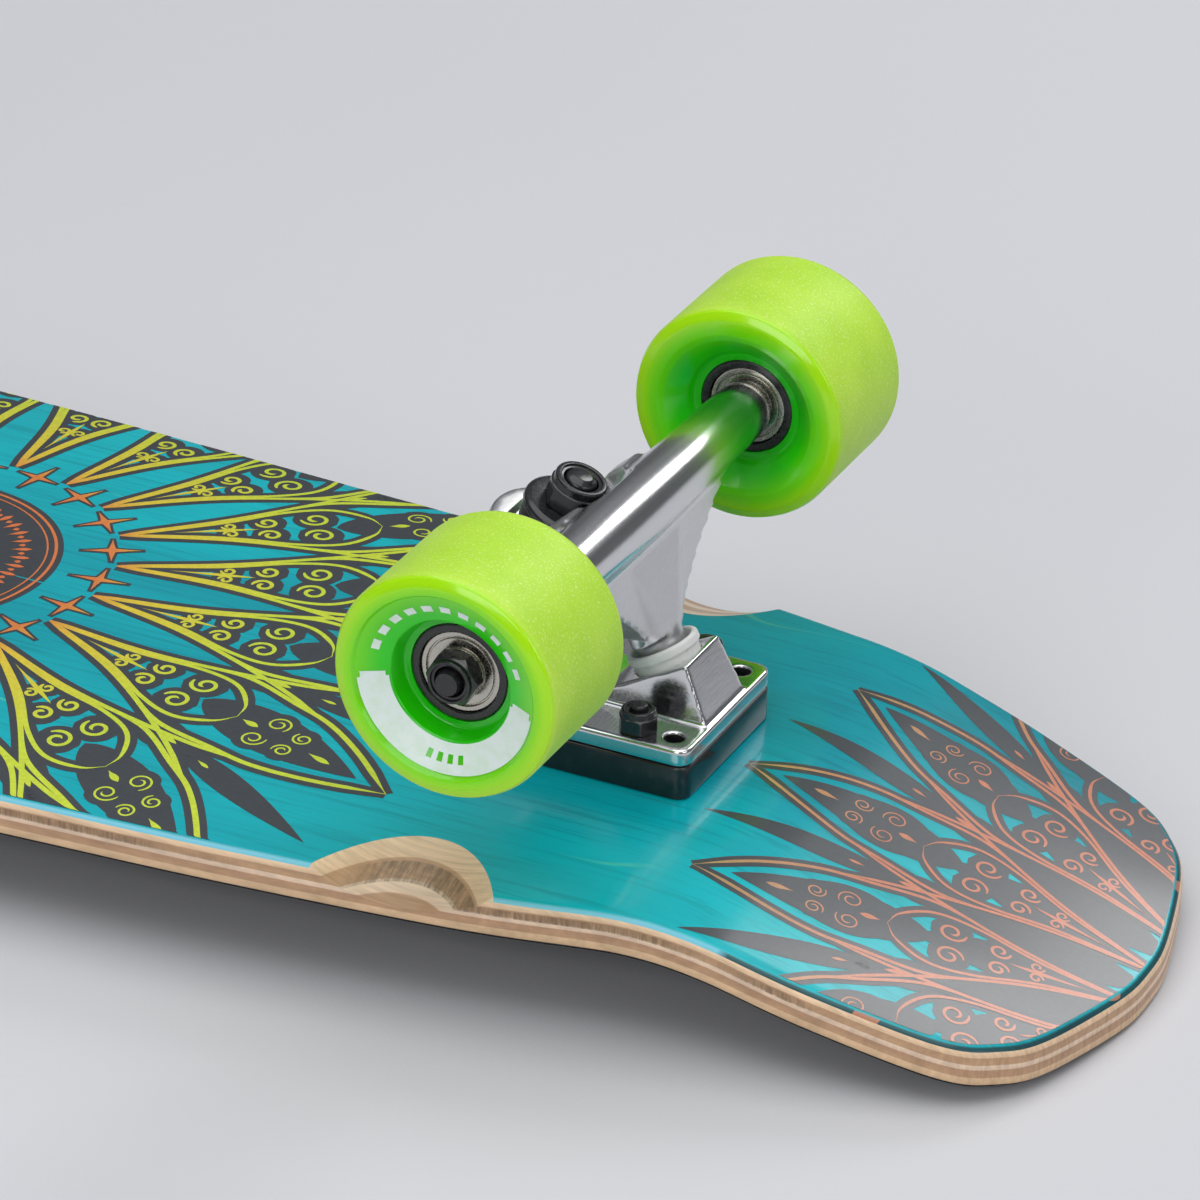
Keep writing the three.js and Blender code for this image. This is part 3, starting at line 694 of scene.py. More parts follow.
def fit_bearings(end, side):
    name = f"{end}_{side}"
    matrix = wheel_matrix(end, side)
    core = paint(turned(f"core_ring_{name}", CORE, matrix, 96), core_material, f"wheel_{name}")
    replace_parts(core, f"core_{name}")
    out = matrix @ Matrix.Translation((0, 0, SPACER_HALF))
    inward = matrix @ Matrix.Rotation(math.pi, 4, "X") @ Matrix.Translation((0, 0, SPACER_HALF))
    for node, seat in ((f"bearing_out_{name}", out), (f"bearing_in_{name}", inward)):
        race = turned(f"ball_{node}", BEARING, seat, 96, 25)
        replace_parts(paint(race, bearing_material, f"wheel_{name}"), node)
        washer_seat = seat @ Matrix.Translation((0, 0, BEARING_WIDTH + 0.05))
        washer = turned(f"speed_washer_{node}", SPEED_WASHER, washer_seat, 48)
        finish = black_steel_material if "out" in node else axle_material
        paint(washer, finish, f"hanger_{end}")
    spacer = turned(f"spacer_tube_{name}", SPACER, matrix, 48)
    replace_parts(paint(spacer, axle_material, f"hanger_{end}"), f"spacer_{name}")


for end, side in WHEELS:
    fit_bearings(end, side)
print("bearings:", 2 * len(WHEELS))

# %% [markdown]
# ## Nuts, bolts and the kingpin
#
# All the dark hardware is black-oxide steel. A lock nut is a hexagon whose corners were chamfered on a lathe,
# with a rolled collar that holds a nylon ring. The true way to get those curved corner chamfers is the way the
# factory does it: intersect a hexagon with a turned blank. An axle, a kingpin and the mounting bolts all use
# the same nut in their own sizes.

# %% A lock nut
def slab(name, outline, low, high, edge, matrix, sharp=35):
    """A flat outline given a thickness, with rounded upper and lower edges."""
    flat = np.array(outline, float)
    step = np.roll(flat, -1, 0) - np.roll(flat, 1, 0)
    out = np.stack([step[:, 1], -step[:, 0]], 1)
    out /= np.linalg.norm(out, axis=1)[:, None]
    rows = []
    for a in np.radians(np.linspace(0, 90, 5)) if edge > 0 else [math.pi / 2]:
        rows.append((edge * (1 - math.sin(a)), edge * (1 - math.cos(a))))
    rings = [(inset, low + rise) for inset, rise in rows]
    rings += [(inset, high - rise) for inset, rise in rows[::-1]]
    count = len(flat)
    points = [(*(flat[i] - out[i] * inset), z) for inset, z in rings for i in range(count)]
    faces = [tuple(range(count))[::-1], tuple(range((len(rings) - 1) * count, len(rings) * count))]
    for r in range(len(rings) - 1):
        for i in range(count):
            j = (i + 1) % count
            faces.append((r * count + i, r * count + j, (r + 1) * count + j, (r + 1) * count + i))
    return new_piece(name, points, faces, matrix, sharp)


def hexagon(radius, fillet_radius=0.35):
    """A hexagon with slightly rounded corners."""
    points = []
    for i in range(6):
        middle = math.radians(60 * i)
        centre = radius - fillet_radius / math.cos(math.radians(30))
        for k in range(-2, 3):
            a = middle + math.radians(15 * k)
            points.append((centre * math.cos(middle) + fillet_radius * math.cos(a),
                           centre * math.sin(middle) + fillet_radius * math.sin(a)))
    return points


def lock_nut(name, matrix, corner, hex_height, collar, bore):
    """corner is the hexagon's radius; collar is (radius, height) of the rolled rim above it."""
    cone = corner * 0.12
    blank = turned(name, [
        (bore, 0, 0.2), (corner * 0.93, 0, 0.3), (corner + 0.3, cone), (corner + 0.3, hex_height - cone),
        (collar[0] + 0.5, hex_height, 0.4), (collar[0], hex_height + 0.3, 0.3), (collar[0], collar[1], 0.9),
        (bore + 0.9, collar[1], 0.25), (bore + 0.75, collar[1] - 0.6, 0.1), (bore, collar[1] - 0.7, 0.2),
    ], matrix, 72, 25)
    prism = slab("prism", hexagon(corner), -1, hex_height + 0.1, 0, matrix)
    above = slab("above", [(20 * math.cos(a), 20 * math.sin(a)) for a in np.linspace(0, 2 * math.pi, 25)[:-1]],
                 hex_height + 0.05, collar[1] + 1, 0, matrix)
    cut(prism, [above], "UNION")
    cut(blank, [prism], "INTERSECT")
    smooth(blank, 25)
    return blank


# %% Axles and axle nuts
AXLE_RADIUS = 3.97
AXLE_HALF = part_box("axle_tail")[1].y / MM
AXLE_NUT_LOW = 13.3


def threads(start, end, radius, pitch, depth):
    """Corners of a threaded stretch, as ridges on a lathe profile."""
    turns = int((end - start) / pitch)
    made = []
    for i in range(turns):
        h = start + i * pitch
        made += [(radius - depth, h), (radius, h + pitch / 2)]
    return made


for end in ENDS:
    grooves = threads(88, AXLE_HALF - 1.2, AXLE_RADIUS, 1.06, 0.3)
    profile = [(0, -AXLE_HALF)] + [(r, -h) for r, h in [(3.0, AXLE_HALF)] + grooves[::-1]]
    profile += grooves + [(3.0, AXLE_HALF), (0, AXLE_HALF)]
    lay = truck_matrix(end) @ Matrix.Rotation(math.pi / 2, 4, "X")
    axle = turned(f"axle_rod_{end}", profile, lay, 48, 50)
    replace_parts(paint(axle, black_steel_material, f"hanger_{end}"), f"axle_{end}")
    for side in SIDES:
        seat = wheel_matrix(end, side) @ Matrix.Translation((0, 0, AXLE_NUT_LOW))
        nut = lock_nut(f"axle_lock_nut_{end}_{side}", seat, 7.3, 3.9, (5.9, 5.5), 4.1)
        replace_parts(paint(nut, black_steel_material, f"hanger_{end}"), f"axle_nut_{end}_{side}")

# %% [markdown]
# ## Kingpin, bushings and cup washers
#
# The kingpin runs through the truck at a slant. On it sit, from the board up: a cup washer, a bushing, the
# hanger's ring, another bushing, the second washer and a lock nut. The frame knows where the nodes are but
# not how they lean, so the lean is repeated here, with heights along the pin measured from the ring's middle.

# %% Frames along the kingpin and the pivot
RING_CENTRE = (-22, 0, -13.9)
KINGPIN_TILT = math.radians(21)
PIVOT_CENTRE = (12.5, 0, -39.6)
PIVOT_TILT = math.radians(28)


def kingpin_matrix(end, height=0.0):
    lean = Matrix.Translation(RING_CENTRE) @ Matrix.Rotation(KINGPIN_TILT, 4, "Y")
    return truck_matrix(end) @ lean @ Matrix.Translation((0, 0, height))


def pivot_matrix(end, height=0.0):
    lean = Matrix.Translation(PIVOT_CENTRE) @ Matrix.Rotation(-PIVOT_TILT, 4, "Y")
    return truck_matrix(end) @ lean @ Matrix.Translation((0, 0, height))


# %% Kingpins and nuts
KINGPIN = [
    (0, -38.8), (7.2, -38.8, 0.5), (7.2, -33.1, 0.3), (4.7, -33.1), (4.7, 15.0), (4.35, 15.2),
    (4.35, 22.2, 1.4),
    (2.6, 23.5, 1.6), (0, 23.7),
]
for end in ENDS:
    pin = turned(f"kingpin_bolt_{end}", KINGPIN, kingpin_matrix(end), 48)
    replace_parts(paint(pin, black_steel_material, "board"), f"kingpin_{end}")
    nut = lock_nut(f"kingpin_lock_nut_{end}", kingpin_matrix(end, 14.0), 7.9, 5.9, (7.15, 8.6), 4.8)
    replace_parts(paint(nut, black_steel_material, "board"), f"kingpin_nut_{end}")

# %% [markdown]
# Bushings are soft black urethane: a barrel above the ring and a cone below it. They are squeezed on one side
# and let out on the other whenever the truck steers. The cup washers are pressed from sheet, with a rim that
# turns over the bushing.

# %% Bushings and cup washers
rubber = Recipe("bushing_urethane")
skin = rubber.noise(rubber.scaled(1, 1, 1), 500, 3.0)
rubber.bump(skin, 0.00004, 0.5)
rubber_color = rubber.mix(skin, (0.010, 0.010, 0.011), (0.024, 0.024, 0.026))
bushing_material = rubber.finish(base_color=rubber_color, roughness=0.42)

ROAD_BUSHING = [(5.2, 2.85, 0.4), (11.2, 2.85, 0.8), (11.7, 7.2, 4), (10.6, 11.55, 0.8), (5.2, 11.55, 0.4)]
BOARD_BUSHING = [
    (5.2, -14.55, 0.4), (10.4, -14.55, 0.8), (11.7, -8.6, 5), (11.3, -2.85, 0.8), (5.2, -2.85, 0.4),
]
ROAD_CUP = [
    (5.0, 11.85, 0.2), (11.2, 11.85, 0.5), (11.35, 10.9, 0.3), (12.4, 10.9, 0.4), (12.4, 12.9, 1.1),
    (11.0, 13.8, 0.9),
    (5.0, 13.8, 0.3),
]
BOARD_CUP = [
    (5.0, -14.85, 0.2), (10.9, -14.85, 0.5), (11.1, -14.0, 0.3), (12.0, -14.0, 0.4), (12.0, -15.9, 1.0),
    (10.8, -16.8, 0.9), (5.0, -16.8, 0.3),
]
for end in ENDS:
    frame_here = kingpin_matrix(end)
    for name, profile in (("road", ROAD_BUSHING), ("board", BOARD_BUSHING)):
        bushing = turned(f"bushing_{name}_side_{end}", profile, frame_here, 72)
        bushing.data.materials.append(bushing_material)
        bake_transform(bushing)
        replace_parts(bushing, f"bushing_{name}_{end}")
    for name, profile in (("road", ROAD_CUP), ("board", BOARD_CUP)):
        cup = turned(f"cup_washer_{name}_{end}", profile, frame_here, 72)
        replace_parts(paint(cup, black_steel_material, "board"), f"washer_{name}_{end}")

# %% [markdown]
# The mounting bolts come up through grip tape, deck, riser and baseplate and end in small lock nuts. From
# below, a countersunk head with a cross recess lies flush with the grip tape.

# %% Mounting bolts
PLATE_TOP = -49.7
DECK_FACE = DECK_TOP - AXLE_Z
GRIP_FACE = DECK_FACE - DECK_THICKNESS - 1.1
BOLT = [
    (0, GRIP_FACE + 0.25), (4.5, GRIP_FACE + 0.25, 0.25), (4.5, GRIP_FACE + 0.7, 0.2),
    (2.35, GRIP_FACE + 3.0),
    (2.35, PLATE_TOP + 7.2, 0.5), (0, PLATE_TOP + 7.6),
]
BOLT_ROW_NAMES = {"outer": BOLT_ROWS[0], "inner": BOLT_ROWS[1]}


def mounting_bolt(end, row, side):
    name = f"{end}_{row}_{side}"
    place = Matrix.Translation((BOLT_ROW_NAMES[row], SIDES[side] * BOLT_HALF_SPACING, 0))
    bolt = turned(f"mounting_bolt_{name}", BOLT, truck_matrix(end) @ place, 32)
    slots = []
    for turn in (45, 135):
        size = [(-2.5, -0.5), (2.5, -0.5), (2.5, 0.5), (-2.5, 0.5)]
        cross = truck_matrix(end) @ place @ Matrix.Rotation(math.radians(turn), 4, "Z")
        slots.append(slab("slot", size, GRIP_FACE - 1, GRIP_FACE + 1.7, 0, cross))
    cut(bolt, slots)
    nut_seat = truck_matrix(end) @ place @ Matrix.Translation((0, 0, PLATE_TOP + 0.1))
    nut = lock_nut(f"mounting_nut_{name}", nut_seat, 5.45, 4.0, (4.6, 6.0), 2.45)
    paint(nut, black_steel_material, "board")
    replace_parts(paint(bolt, black_steel_material, "board"), f"bolt_{name}")


for end in ENDS:
    for row in BOLT_ROW_NAMES:
        for side in SIDES:
            mounting_bolt(end, row, side)
print("mounting bolts:", len(ENDS) * len(BOLT_ROW_NAMES) * len(SIDES))

# %% [markdown]
# ## Cast aluminium trucks
#
# Hangers and baseplates are gravity-cast in a steel mould and then tumbled, so nothing on them is sharp: every
# inner corner has a fillet and every outer edge a radius. Modelling those fillets one by one, with bevels,
# breaks down where a tube, a web and a ring meet. Sculpting them by hand gives soft shapes without true axes.
#
# The way used here copies the foundry. Exact blanks (tubes, plates, drums) are joined and cut at their true
# sizes, the result is turned into an even skin of small cells, and a few passes of smoothing round every
# corner by about a millimetre, as tumbling does.

# %% The foundry
ALONG_Y = Matrix.Rotation(-math.pi / 2, 4, "X")
FACING_X = Matrix(((0, 0, 1, 0), (1, 0, 0, 0), (0, 1, 0, 0), (0, 0, 0, 1)))
FACING_Y = Matrix(((1, 0, 0, 0), (0, 0, -1, 0), (0, 1, 0, 0), (0, 0, 0, 1)))


def hull(name, corners, matrix):
    """The tightest solid round a few corners."""
    work = bmesh.new()
    for corner in corners:
        work.verts.new(corner)
    bmesh.ops.convex_hull(work, input=work.verts)
    loose = [v for v in work.verts if not v.link_faces]
    bmesh.ops.delete(work, geom=loose, context="VERTS")
    work.verts.index_update()
    points = [tuple(v.co) for v in work.verts]
    faces = [tuple(v.index for v in f.verts) for f in work.faces]
    work.free()
    return new_piece(name, points, faces, matrix)


def foundry(blanks, cutters, cell, passes, name):
    """Joins blanks, cuts them, and rounds the result as a tumbled casting. cell is in mm."""
    body = blanks[0]
    body.name = name
    cut(body, blanks[1:], "UNION")
    cut(body, cutters)
    skin = body.modifiers.new("skin", "REMESH")
    skin.mode = "VOXEL"
    skin.voxel_size = cell * MM
    tumble = body.modifiers.new("tumble", "SMOOTH")
    tumble.factor = 0.5
    tumble.iterations = passes
    apply_modifiers(body)
    smooth(body, 180)
    return body


def stadium(radius, half_length, steps=16):
    """A slot's outline: round ends, long along Y."""
    points = []
    for middle, start in ((half_length, 0), (-half_length, math.pi)):
        for i in range(steps + 1):
            a = start + math.pi * i / steps
            points.append((radius * math.cos(a), middle + radius * math.sin(a)))
    return points


def curve_between(start, control, end, steps=26):
    """Points on a curve that leans towards one control point."""
    made = []
    for i in range(steps + 1):
        t = i / steps
        made.append(tuple((1 - t) ** 2 * a + 2 * t * (1 - t) * b + t**2 * c
                          for a, b, c in zip(start, control, end)))
    return made


# %% Cast a hanger
HANGER_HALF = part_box("hanger_tail")[1].y / MM
TUBE = [(4.1, -HANGER_HALF), (7.3, -HANGER_HALF, 0.6), (8.2, -HANGER_HALF + 1.6, 1.0)]
TUBE += [(8.5 + 0.8 * math.cos(math.pi * h / 104) ** 2, h) for h in np.linspace(-50, 50, 27)]
TUBE += [(8.2, HANGER_HALF - 1.6, 1.0), (7.3, HANGER_HALF, 0.6), (4.1, HANGER_HALF)]
WEB = curve_between((-67, 3), (-26, -12), (-11.4, -30)) + curve_between((11.4, -30), (26, -12), (67, 3))
CHEEK = [(-25, -14), (-19.5, -6), (-14, 1.5), (-8.5, 6.4), (5, 5), (6, -22), (-12, -20)]
NOSE = [(0, -7.0, 1.5), (4.4, -6.2, 2.5), (6.4, -2.0, 3.0), (6.7, 3.0), (6.7, 8.6), (0, 8.6)]
CIRCLE = np.linspace(0, 2 * math.pi, 33)[:-1]
SEAT_RADIUS = 12.9
WEB_LEAN = math.radians(-10)


def cast_hanger(end):
    truck = truck_matrix(end)
    pin = kingpin_matrix(end)
    web_frame = truck @ Matrix.Translation((2.5, 0, 0)) @ Matrix.Rotation(WEB_LEAN, 4, "Y") @ FACING_X
    to_truck = truck.inverted() @ pivot_matrix(end)
    foot = [tuple(to_truck @ Vector((6.4 * math.cos(a), 10.6 * math.sin(a), 7.6))) for a in CIRCLE]
    foot += [(x, y, -6) for x in (0.2, 7.0) for y in (-16, 16)]
    blanks = [
        turned("tube", TUBE, truck @ ALONG_Y, 96),
        slab("web", WEB[::-1], -3.6, 3.6, 0.8, web_frame),
        turned("ring", [(0, -4.2), (18.7, -4.2, 1.2), (18.7, 4.2, 1.6), (0, 4.2)], pin, 96),
        slab("bridge", [(-14, -21), (0, -25), (9, -24), (3, -6), (-9, -9)], -17, 17, 0.5, truck @ FACING_Y),
        slab("cheek", CHEEK[::-1], -23, -12.4, 1.5, truck @ FACING_Y),
        slab("cheek", CHEEK[::-1], 12.4, 23, 1.5, truck @ FACING_Y),
        turned("nose", NOSE, pivot_matrix(end), 64), hull("foot", foot, truck),
    ]
    cutters = [
        slab("seat", stadium(SEAT_RADIUS, 3.8), 2.6, 15, 0, pin),
        slab("seat", stadium(SEAT_RADIUS, 3.8), -24, -2.6, 0, pin),
        slab("nut_room", stadium(9.3, 6.2), 14.5, 45, 0, pin),
        turned("ring_hole", [(0, -10), (7.6, -10), (7.6, 10), (0, 10)], pin, 48),
    ]
    return foundry(blanks, cutters, 0.5, 16, f"hanger_casting_{end}")


def cast_metal(end):
    """Satin from tumbling on the web, polished round the tube."""
    recipe = Recipe(f"cast_aluminium_{end}")
    centre = truck_matrix(end).translation
    local = recipe.add("ShaderNodeVectorMath", {0: recipe.place, 1: centre}, operation="SUBTRACT")
    x, z = recipe.axis(0, local), recipe.axis(2, local)
    reach = recipe.distance(x, z)
    polished = recipe.levels(reach, 0.0104, 0.0094)
    satin = recipe.noise(recipe.scaled(1, 1, 1), 750, 4.0, 0.65)
    draw = recipe.noise(recipe.scaled(900, 9, 900), 1.0, 3.0)
    waves = recipe.noise(recipe.scaled(1, 1, 1), 60, 2.0)
    rough = recipe.levels(polished, 0, 1, 0.34, 0.19)
    rough = recipe.math("ADD", rough, recipe.levels(draw, 0.3, 0.7, -0.03, 0.05))
    relief = recipe.math("MULTIPLY", satin, recipe.levels(polished, 0, 1, 1.0, 0.08))
    relief = recipe.math("ADD", relief, recipe.math("MULTIPLY", waves, 1.2))
    recipe.bump(relief, 0.00005, 0.7)
    color = recipe.mix(satin, (0.62, 0.62, 0.63), (0.72, 0.72, 0.73))
    return recipe.finish(base_color=color, metallic=1.0, roughness=rough)


cast_metals = {end: cast_metal(end) for end in ENDS}
for end in ENDS:
    hanger = cast_hanger(end)
    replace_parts(paint(hanger, cast_metals[end], f"hanger_{end}"), f"hanger_{end}")
    print("hanger casting:", end, len(hanger.data.polygons), "faces")

# %% [markdown]
# The baseplate is a flat plate with six holes, a boss that holds the pivot cup square to the pivot and a
# second boss that the kingpin leans out of. It is buffed brighter than the hanger's web. Two of the holes
# stay open: trucks are drilled for two bolt patterns.

# %% Cast a baseplate
PLATE_LOW = PLATE_TOP - 5.1
PLATE_X = (-49.4, 30.6)
PLATE_HALF_WIDTH = 27.2
PLATE_CORNER = 4
OPEN_HOLE_X = 24


def rounded_rectangle(low_x, high_x, half_width, corner, steps=8):
    points = []
    for cx, cy, start in (
        (high_x - corner, half_width - corner, 0), (low_x + corner, half_width - corner, 90),
        (low_x + corner, -half_width + corner, 180), (high_x - corner, -half_width + corner, 270),
    ):
        for i in range(steps + 1):
            a = math.radians(start + 90 * i / steps)
            points.append((cx + corner * math.cos(a), cy + corner * math.sin(a)))
    return points


def plate_holes(matrix, low, high, radius):
    places = [(x, side * BOLT_HALF_SPACING) for x in (OPEN_HOLE_X, *BOLT_ROWS) for side in (-1, 1)]
    profile = [(0, low), (radius, low), (radius, high), (0, high)]
    return [turned("hole", profile, matrix @ Matrix.Translation((x, y, 0)), 32) for x, y in places]


def cast_baseplate(end):
    truck = truck_matrix(end)
    pin = kingpin_matrix(end)
    root = PLATE_TOP - 1
    plate = rounded_rectangle(*PLATE_X, PLATE_HALF_WIDTH, PLATE_CORNER)
    pivot_boss = [
        (29.6, -12.3, root), (29.6, 12.3, root), (-9, -11.5, root), (-9, 11.5, root), (21.8, -10.1, -34.4),
        (21.8, 10.1, -34.4), (-6, -10.6, -49.2), (-6, 10.6, -49.2),
    ]
    to_truck = truck.inverted() @ pin
    kingpin_boss = [tuple(to_truck @ Vector((12.5 * math.cos(a), 12.5 * math.sin(a), -17))) for a in CIRCLE]
    kingpin_boss += [(x, y, root) for x in (-48, -16) for y in (-14, 14)]
    spine_bar = [(x, y, root) for x in (-24, 2) for y in (-9, 9)]
    spine_bar += [(-24, -7, -43), (-24, 7, -43), (0, -7, -45.6), (0, 7, -45.6)]
    blanks = [
        slab("plate", plate, PLATE_LOW, PLATE_TOP, 0.9, truck), hull("pivot_boss", pivot_boss, truck),
        hull("kingpin_boss", kingpin_boss, truck), hull("spine_bar", spine_bar, truck),
    ]
    cutters = [
        turned("cup_bore", [(0, -9.6), (9.25, -9.6), (9.25, 20), (0, 20)], pivot_matrix(end), 64),
        turned("shank", [(0, -45), (4.85, -45), (4.85, -12), (0, -12)], pin, 48),
        turned("head_pocket", [(0, -70), (9, -70), (9, -32.9), (0, -32.9)], pin, 48),
        *plate_holes(truck, -70, -45, 2.75),
    ]
    return foundry(blanks, cutters, 0.5, 5, f"baseplate_casting_{end}")


plate_metal = bright_steel("polished_casting", (0.76, 0.76, 0.77), 0.17)
for end in ENDS:
    baseplate = cast_baseplate(end)
    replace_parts(paint(baseplate, plate_metal, "board"), f"baseplate_{end}")
    print("baseplate casting:", end, len(baseplate.data.polygons), "faces")

# %% [markdown]
# Between the plate and the deck sits a riser pad of glossy black plastic, a little softer at its edges. The
# pivot cup is a white plastic thimble in its boss, with a rolled rim that the hanger's nose turns in.

# %% Risers and pivot cups
riser_material = black_finish("riser_plastic", 0.14, 250, 0.00003)
white = Recipe("white_acetal")
fleck = white.noise(white.scaled(1, 1, 1), 420, 3.0)
white.bump(fleck, 0.00003, 0.4)
white_color = white.mix(fleck, (0.70, 0.70, 0.69), (0.82, 0.82, 0.80))
cup_material = white.finish(base_color=white_color, roughness=0.32, subsurface_weight=0.15,
                                subsurface_scale=0.002, subsurface_radius=(1.0, 1.0, 0.9))
PIVOT_CUP = [
    (0, -9.4), (9.15, -9.4, 1.2), (9.15, 2.5), (10.0, 2.5, 0.4), (10.0, 5.0, 1.3), (8.5, 5.3, 0.7),
    (7.9, 1.4, 0.5),
    (7.3, -3.0), (5.2, -5.9), (0, -7.9),
]
for end in ENDS:
    truck = truck_matrix(end)
    pad_outline = rounded_rectangle(*PLATE_X, PLATE_HALF_WIDTH, PLATE_CORNER)
    pad = slab(f"riser_pad_{end}", pad_outline, DECK_FACE + 0.05, PLATE_LOW - 0.05, 0.7, truck)
    cut(pad, plate_holes(truck, -70, -45, 2.75))
    smooth(pad, 35)
    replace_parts(paint(pad, riser_material, "board"), f"riser_{end}")
    cup = turned(f"pivot_cup_liner_{end}", PIVOT_CUP, pivot_matrix(end), 64)
    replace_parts(paint(cup, cup_material, "board"), f"pivot_cup_{end}")

# %% [markdown]
# ## Grip tape
#
# The standing side is covered with black grip tape, a sheet of abrasive grit glued on after the deck is made
# and trimmed a hair inside the edge. It lies underneath, so it shows mostly as a thin black line, but the part
# is also seen from below. The grit is far too fine for geometry, so it is a bump with a few glinting grains.

# %% Grip tape
grit_recipe = Recipe("grip_tape_grit")
grains = grit_recipe.add("ShaderNodeTexVoronoi", {"Vector": grit_recipe.place, "Scale": 2200.0},
                         output="Distance")
glint = grit_recipe.levels(grit_recipe.noise(grit_recipe.scaled(1, 1, 1), 2600, 1.0), 0.66, 0.72)
grit_recipe.bump(grains, 0.00035, 1.0)
grit_color = grit_recipe.mix(glint, (0.012, 0.012, 0.013), (0.10, 0.10, 0.105))
grit_material = grit_recipe.finish(base_color=grit_color, roughness=0.85)
GRIP_INSET = 1.5
GRIP_THICKNESS = 1.1

grip = pressed_sheet("grip_tape_sheet", DECK_THICKNESS, GRIP_THICKNESS, GRIP_INSET, (0.05, 0.2), 24)
for piece, top in ((grip, 1.2), (deck, 1.2)):
    recesses = []
    for end in ENDS:
        for row in BOLT_ROWS:
            for side in SIDES.values():
                place = truck_matrix(end) @ Matrix.Translation((row, side * BOLT_HALF_SPACING, GRIP_FACE))
                profile = [(0, -3), (4.85, -3), (4.85, top), (2.4, top + 2.4), (0, top + 2.4)]
                recesses.append(turned("recess", profile, place, 32))
    cut(piece, recesses)
smooth(deck, 25)
smooth(grip, 35)
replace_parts(paint(grip, grit_material, "board"), "grip_tape")
print("grip faces:", len(grip.data.polygons))

# %% [markdown]
# ## The print
#
# The face carries a screen print under the lacquer: a large wheel of leaves, scrolls and stars round the
# middle, and half a wheel at each tip. It is line work in lime and orange, and every line has a slate border.
#
# A print could be drawn in shader nodes or painted. Both depend on how finely they are sampled, and these
# lines are little over a millimetre wide. So each line is a thin strip of mesh that lies on the wood, which
# stays crisp at any distance. The ornament here is a plain geometric one, drawn from a few curves: one sector
# is described, and the rest is turned round the middle by a loop.

# %% Stay on the wood
BORDER_INSET = 2.2
border = outline - outward * BORDER_INSET


def nearest_on_border(flat):
    """The nearest border point to each point that fell outside."""
    gap = np.linalg.norm(flat[:, None, :] - border[None], axis=2)
    nearest = gap.argmin(1)
    best = border[nearest]
    best_gap = gap.min(1)
    for step in (-1, 1):
        start, end = border[nearest], border[(nearest + step) % len(border)]
        along = end - start
        t = np.clip(((flat - start) * along).sum(1) / (along**2).sum(1), 0, 1)[:, None]
        candidate = start + along * t
        distance = np.linalg.norm(flat - candidate, axis=1)
        closer = distance < best_gap
        best = np.where(closer[:, None], candidate, best)
        best_gap = np.where(closer, distance, best_gap)
    return best


upper = border[border[:, 1] >= 0]
upper = upper[upper[:, 0].argsort()]


def off_board(flat):
    x, y = flat[:, 0], np.abs(flat[:, 1])
    past_edge = y > np.interp(x, upper[:, 0], upper[:, 1], left=-1, right=-1)
    in_well = (face_height(x, y) - well_height(x, y) > -0.25) & (np.abs(np.abs(x) - WELL_X) < WELL_RADIUS)
    return past_edge, in_well


# %% Strips of ink
class InkLayer:
    """Collects flat strips and lays them on the printed face as one piece."""

    def __init__(self, name, lift):
        self.name, self.lift = name, lift
        self.points, self.faces, self.heights, self.count, self.strips = [], [], [], 0, 0

    def strip(self, line, width, across=1):
        """A strip along a line of points. Each one lies a hair above the last, so crossings stay clean."""
        line = np.array(line, float)
        width = np.broadcast_to(np.asarray(width, float), len(line))
        along = np.gradient(line, axis=0)
        along /= np.maximum(np.linalg.norm(along, axis=1), 1e-9)[:, None]
        side = np.stack([-along[:, 1], along[:, 0]], 1)
        for k in range(across + 1):
            self.points.append(line + side * (width * (k / across - 0.5))[:, None])
            self.heights.append(0.0007 * (self.strips % 60) + np.linspace(0, 0.0006, len(line)))
        count = len(line)
        for k in range(across):
            for i in range(count - 1):
                a, b = self.count + k * count + i, self.count + (k + 1) * count + i
                self.faces.append((a, a + 1, b + 1, b))
        self.count += (across + 1) * count
        self.strips += 1

    def lay(self):
        flat, lifts = np.concatenate(self.points), np.concatenate(self.heights)
        past_edge, in_well = off_board(flat)
        faces = [f for f in self.faces if not all(past_edge[i] for i in f) and not any(in_well[i] for i in f)]
        flat[past_edge] = nearest_on_border(flat[past_edge])
        solid = np.column_stack([flat, face_height(flat[:, 0], flat[:, 1]) + self.lift + lifts])
        used = sorted({i for f in faces for i in f})
        new_index = {old: new for new, old in enumerate(used)}
        faces = [tuple(new_index[i] for i in f) for f in faces]
        piece = new_piece(self.name, solid[used], faces)
        work = bmesh.new()
        work.from_mesh(piece.data)
        bmesh.ops.dissolve_degenerate(work, edges=work.edges, dist=2e-6)
        downward = [f for f in work.faces if f.normal.z < 0]
        bmesh.ops.reverse_faces(work, faces=downward)
        work.to_mesh(piece.data)
        work.free()
        return piece


# %% [markdown]
# One sector is written in its own terms: a radius in millimetres and a turn, where 0 is the sector's middle
# and 1 its edge. Curves through a few such points make leaves and crossing tendrils, and a spiral makes each
# scroll.

# %% Curves of one sector
INK_STEP = 1.6


def smooth_line(corners, step=INK_STEP):
    """An even line through the corners."""
    p = np.array(corners, float)
    p = np.concatenate([[2 * p[0] - p[1]], p, [2 * p[-1] - p[-2]]])
    made = []
    for i in range(1, len(p) - 2):
        t = np.linspace(0, 1, 14, endpoint=False)[:, None]
        a, b, c, d = p[i - 1], p[i], p[i + 1], p[i + 2]
        made.append((2 * b + (c - a) * t + (2 * a - 5 * b + 4 * c - d) * t**2
                     + (3 * b - 3 * c + d - a) * t**3) / 2)
    line = np.concatenate(made + [p[-2:-1]])
    length = np.concatenate([[0], np.cumsum(np.linalg.norm(np.diff(line, axis=0), axis=1))])
    even = np.linspace(0, length[-1], max(3, int(length[-1] / step) + 1))
    return np.stack([np.interp(even, length, line[:, k]) for k in (0, 1)], 1)


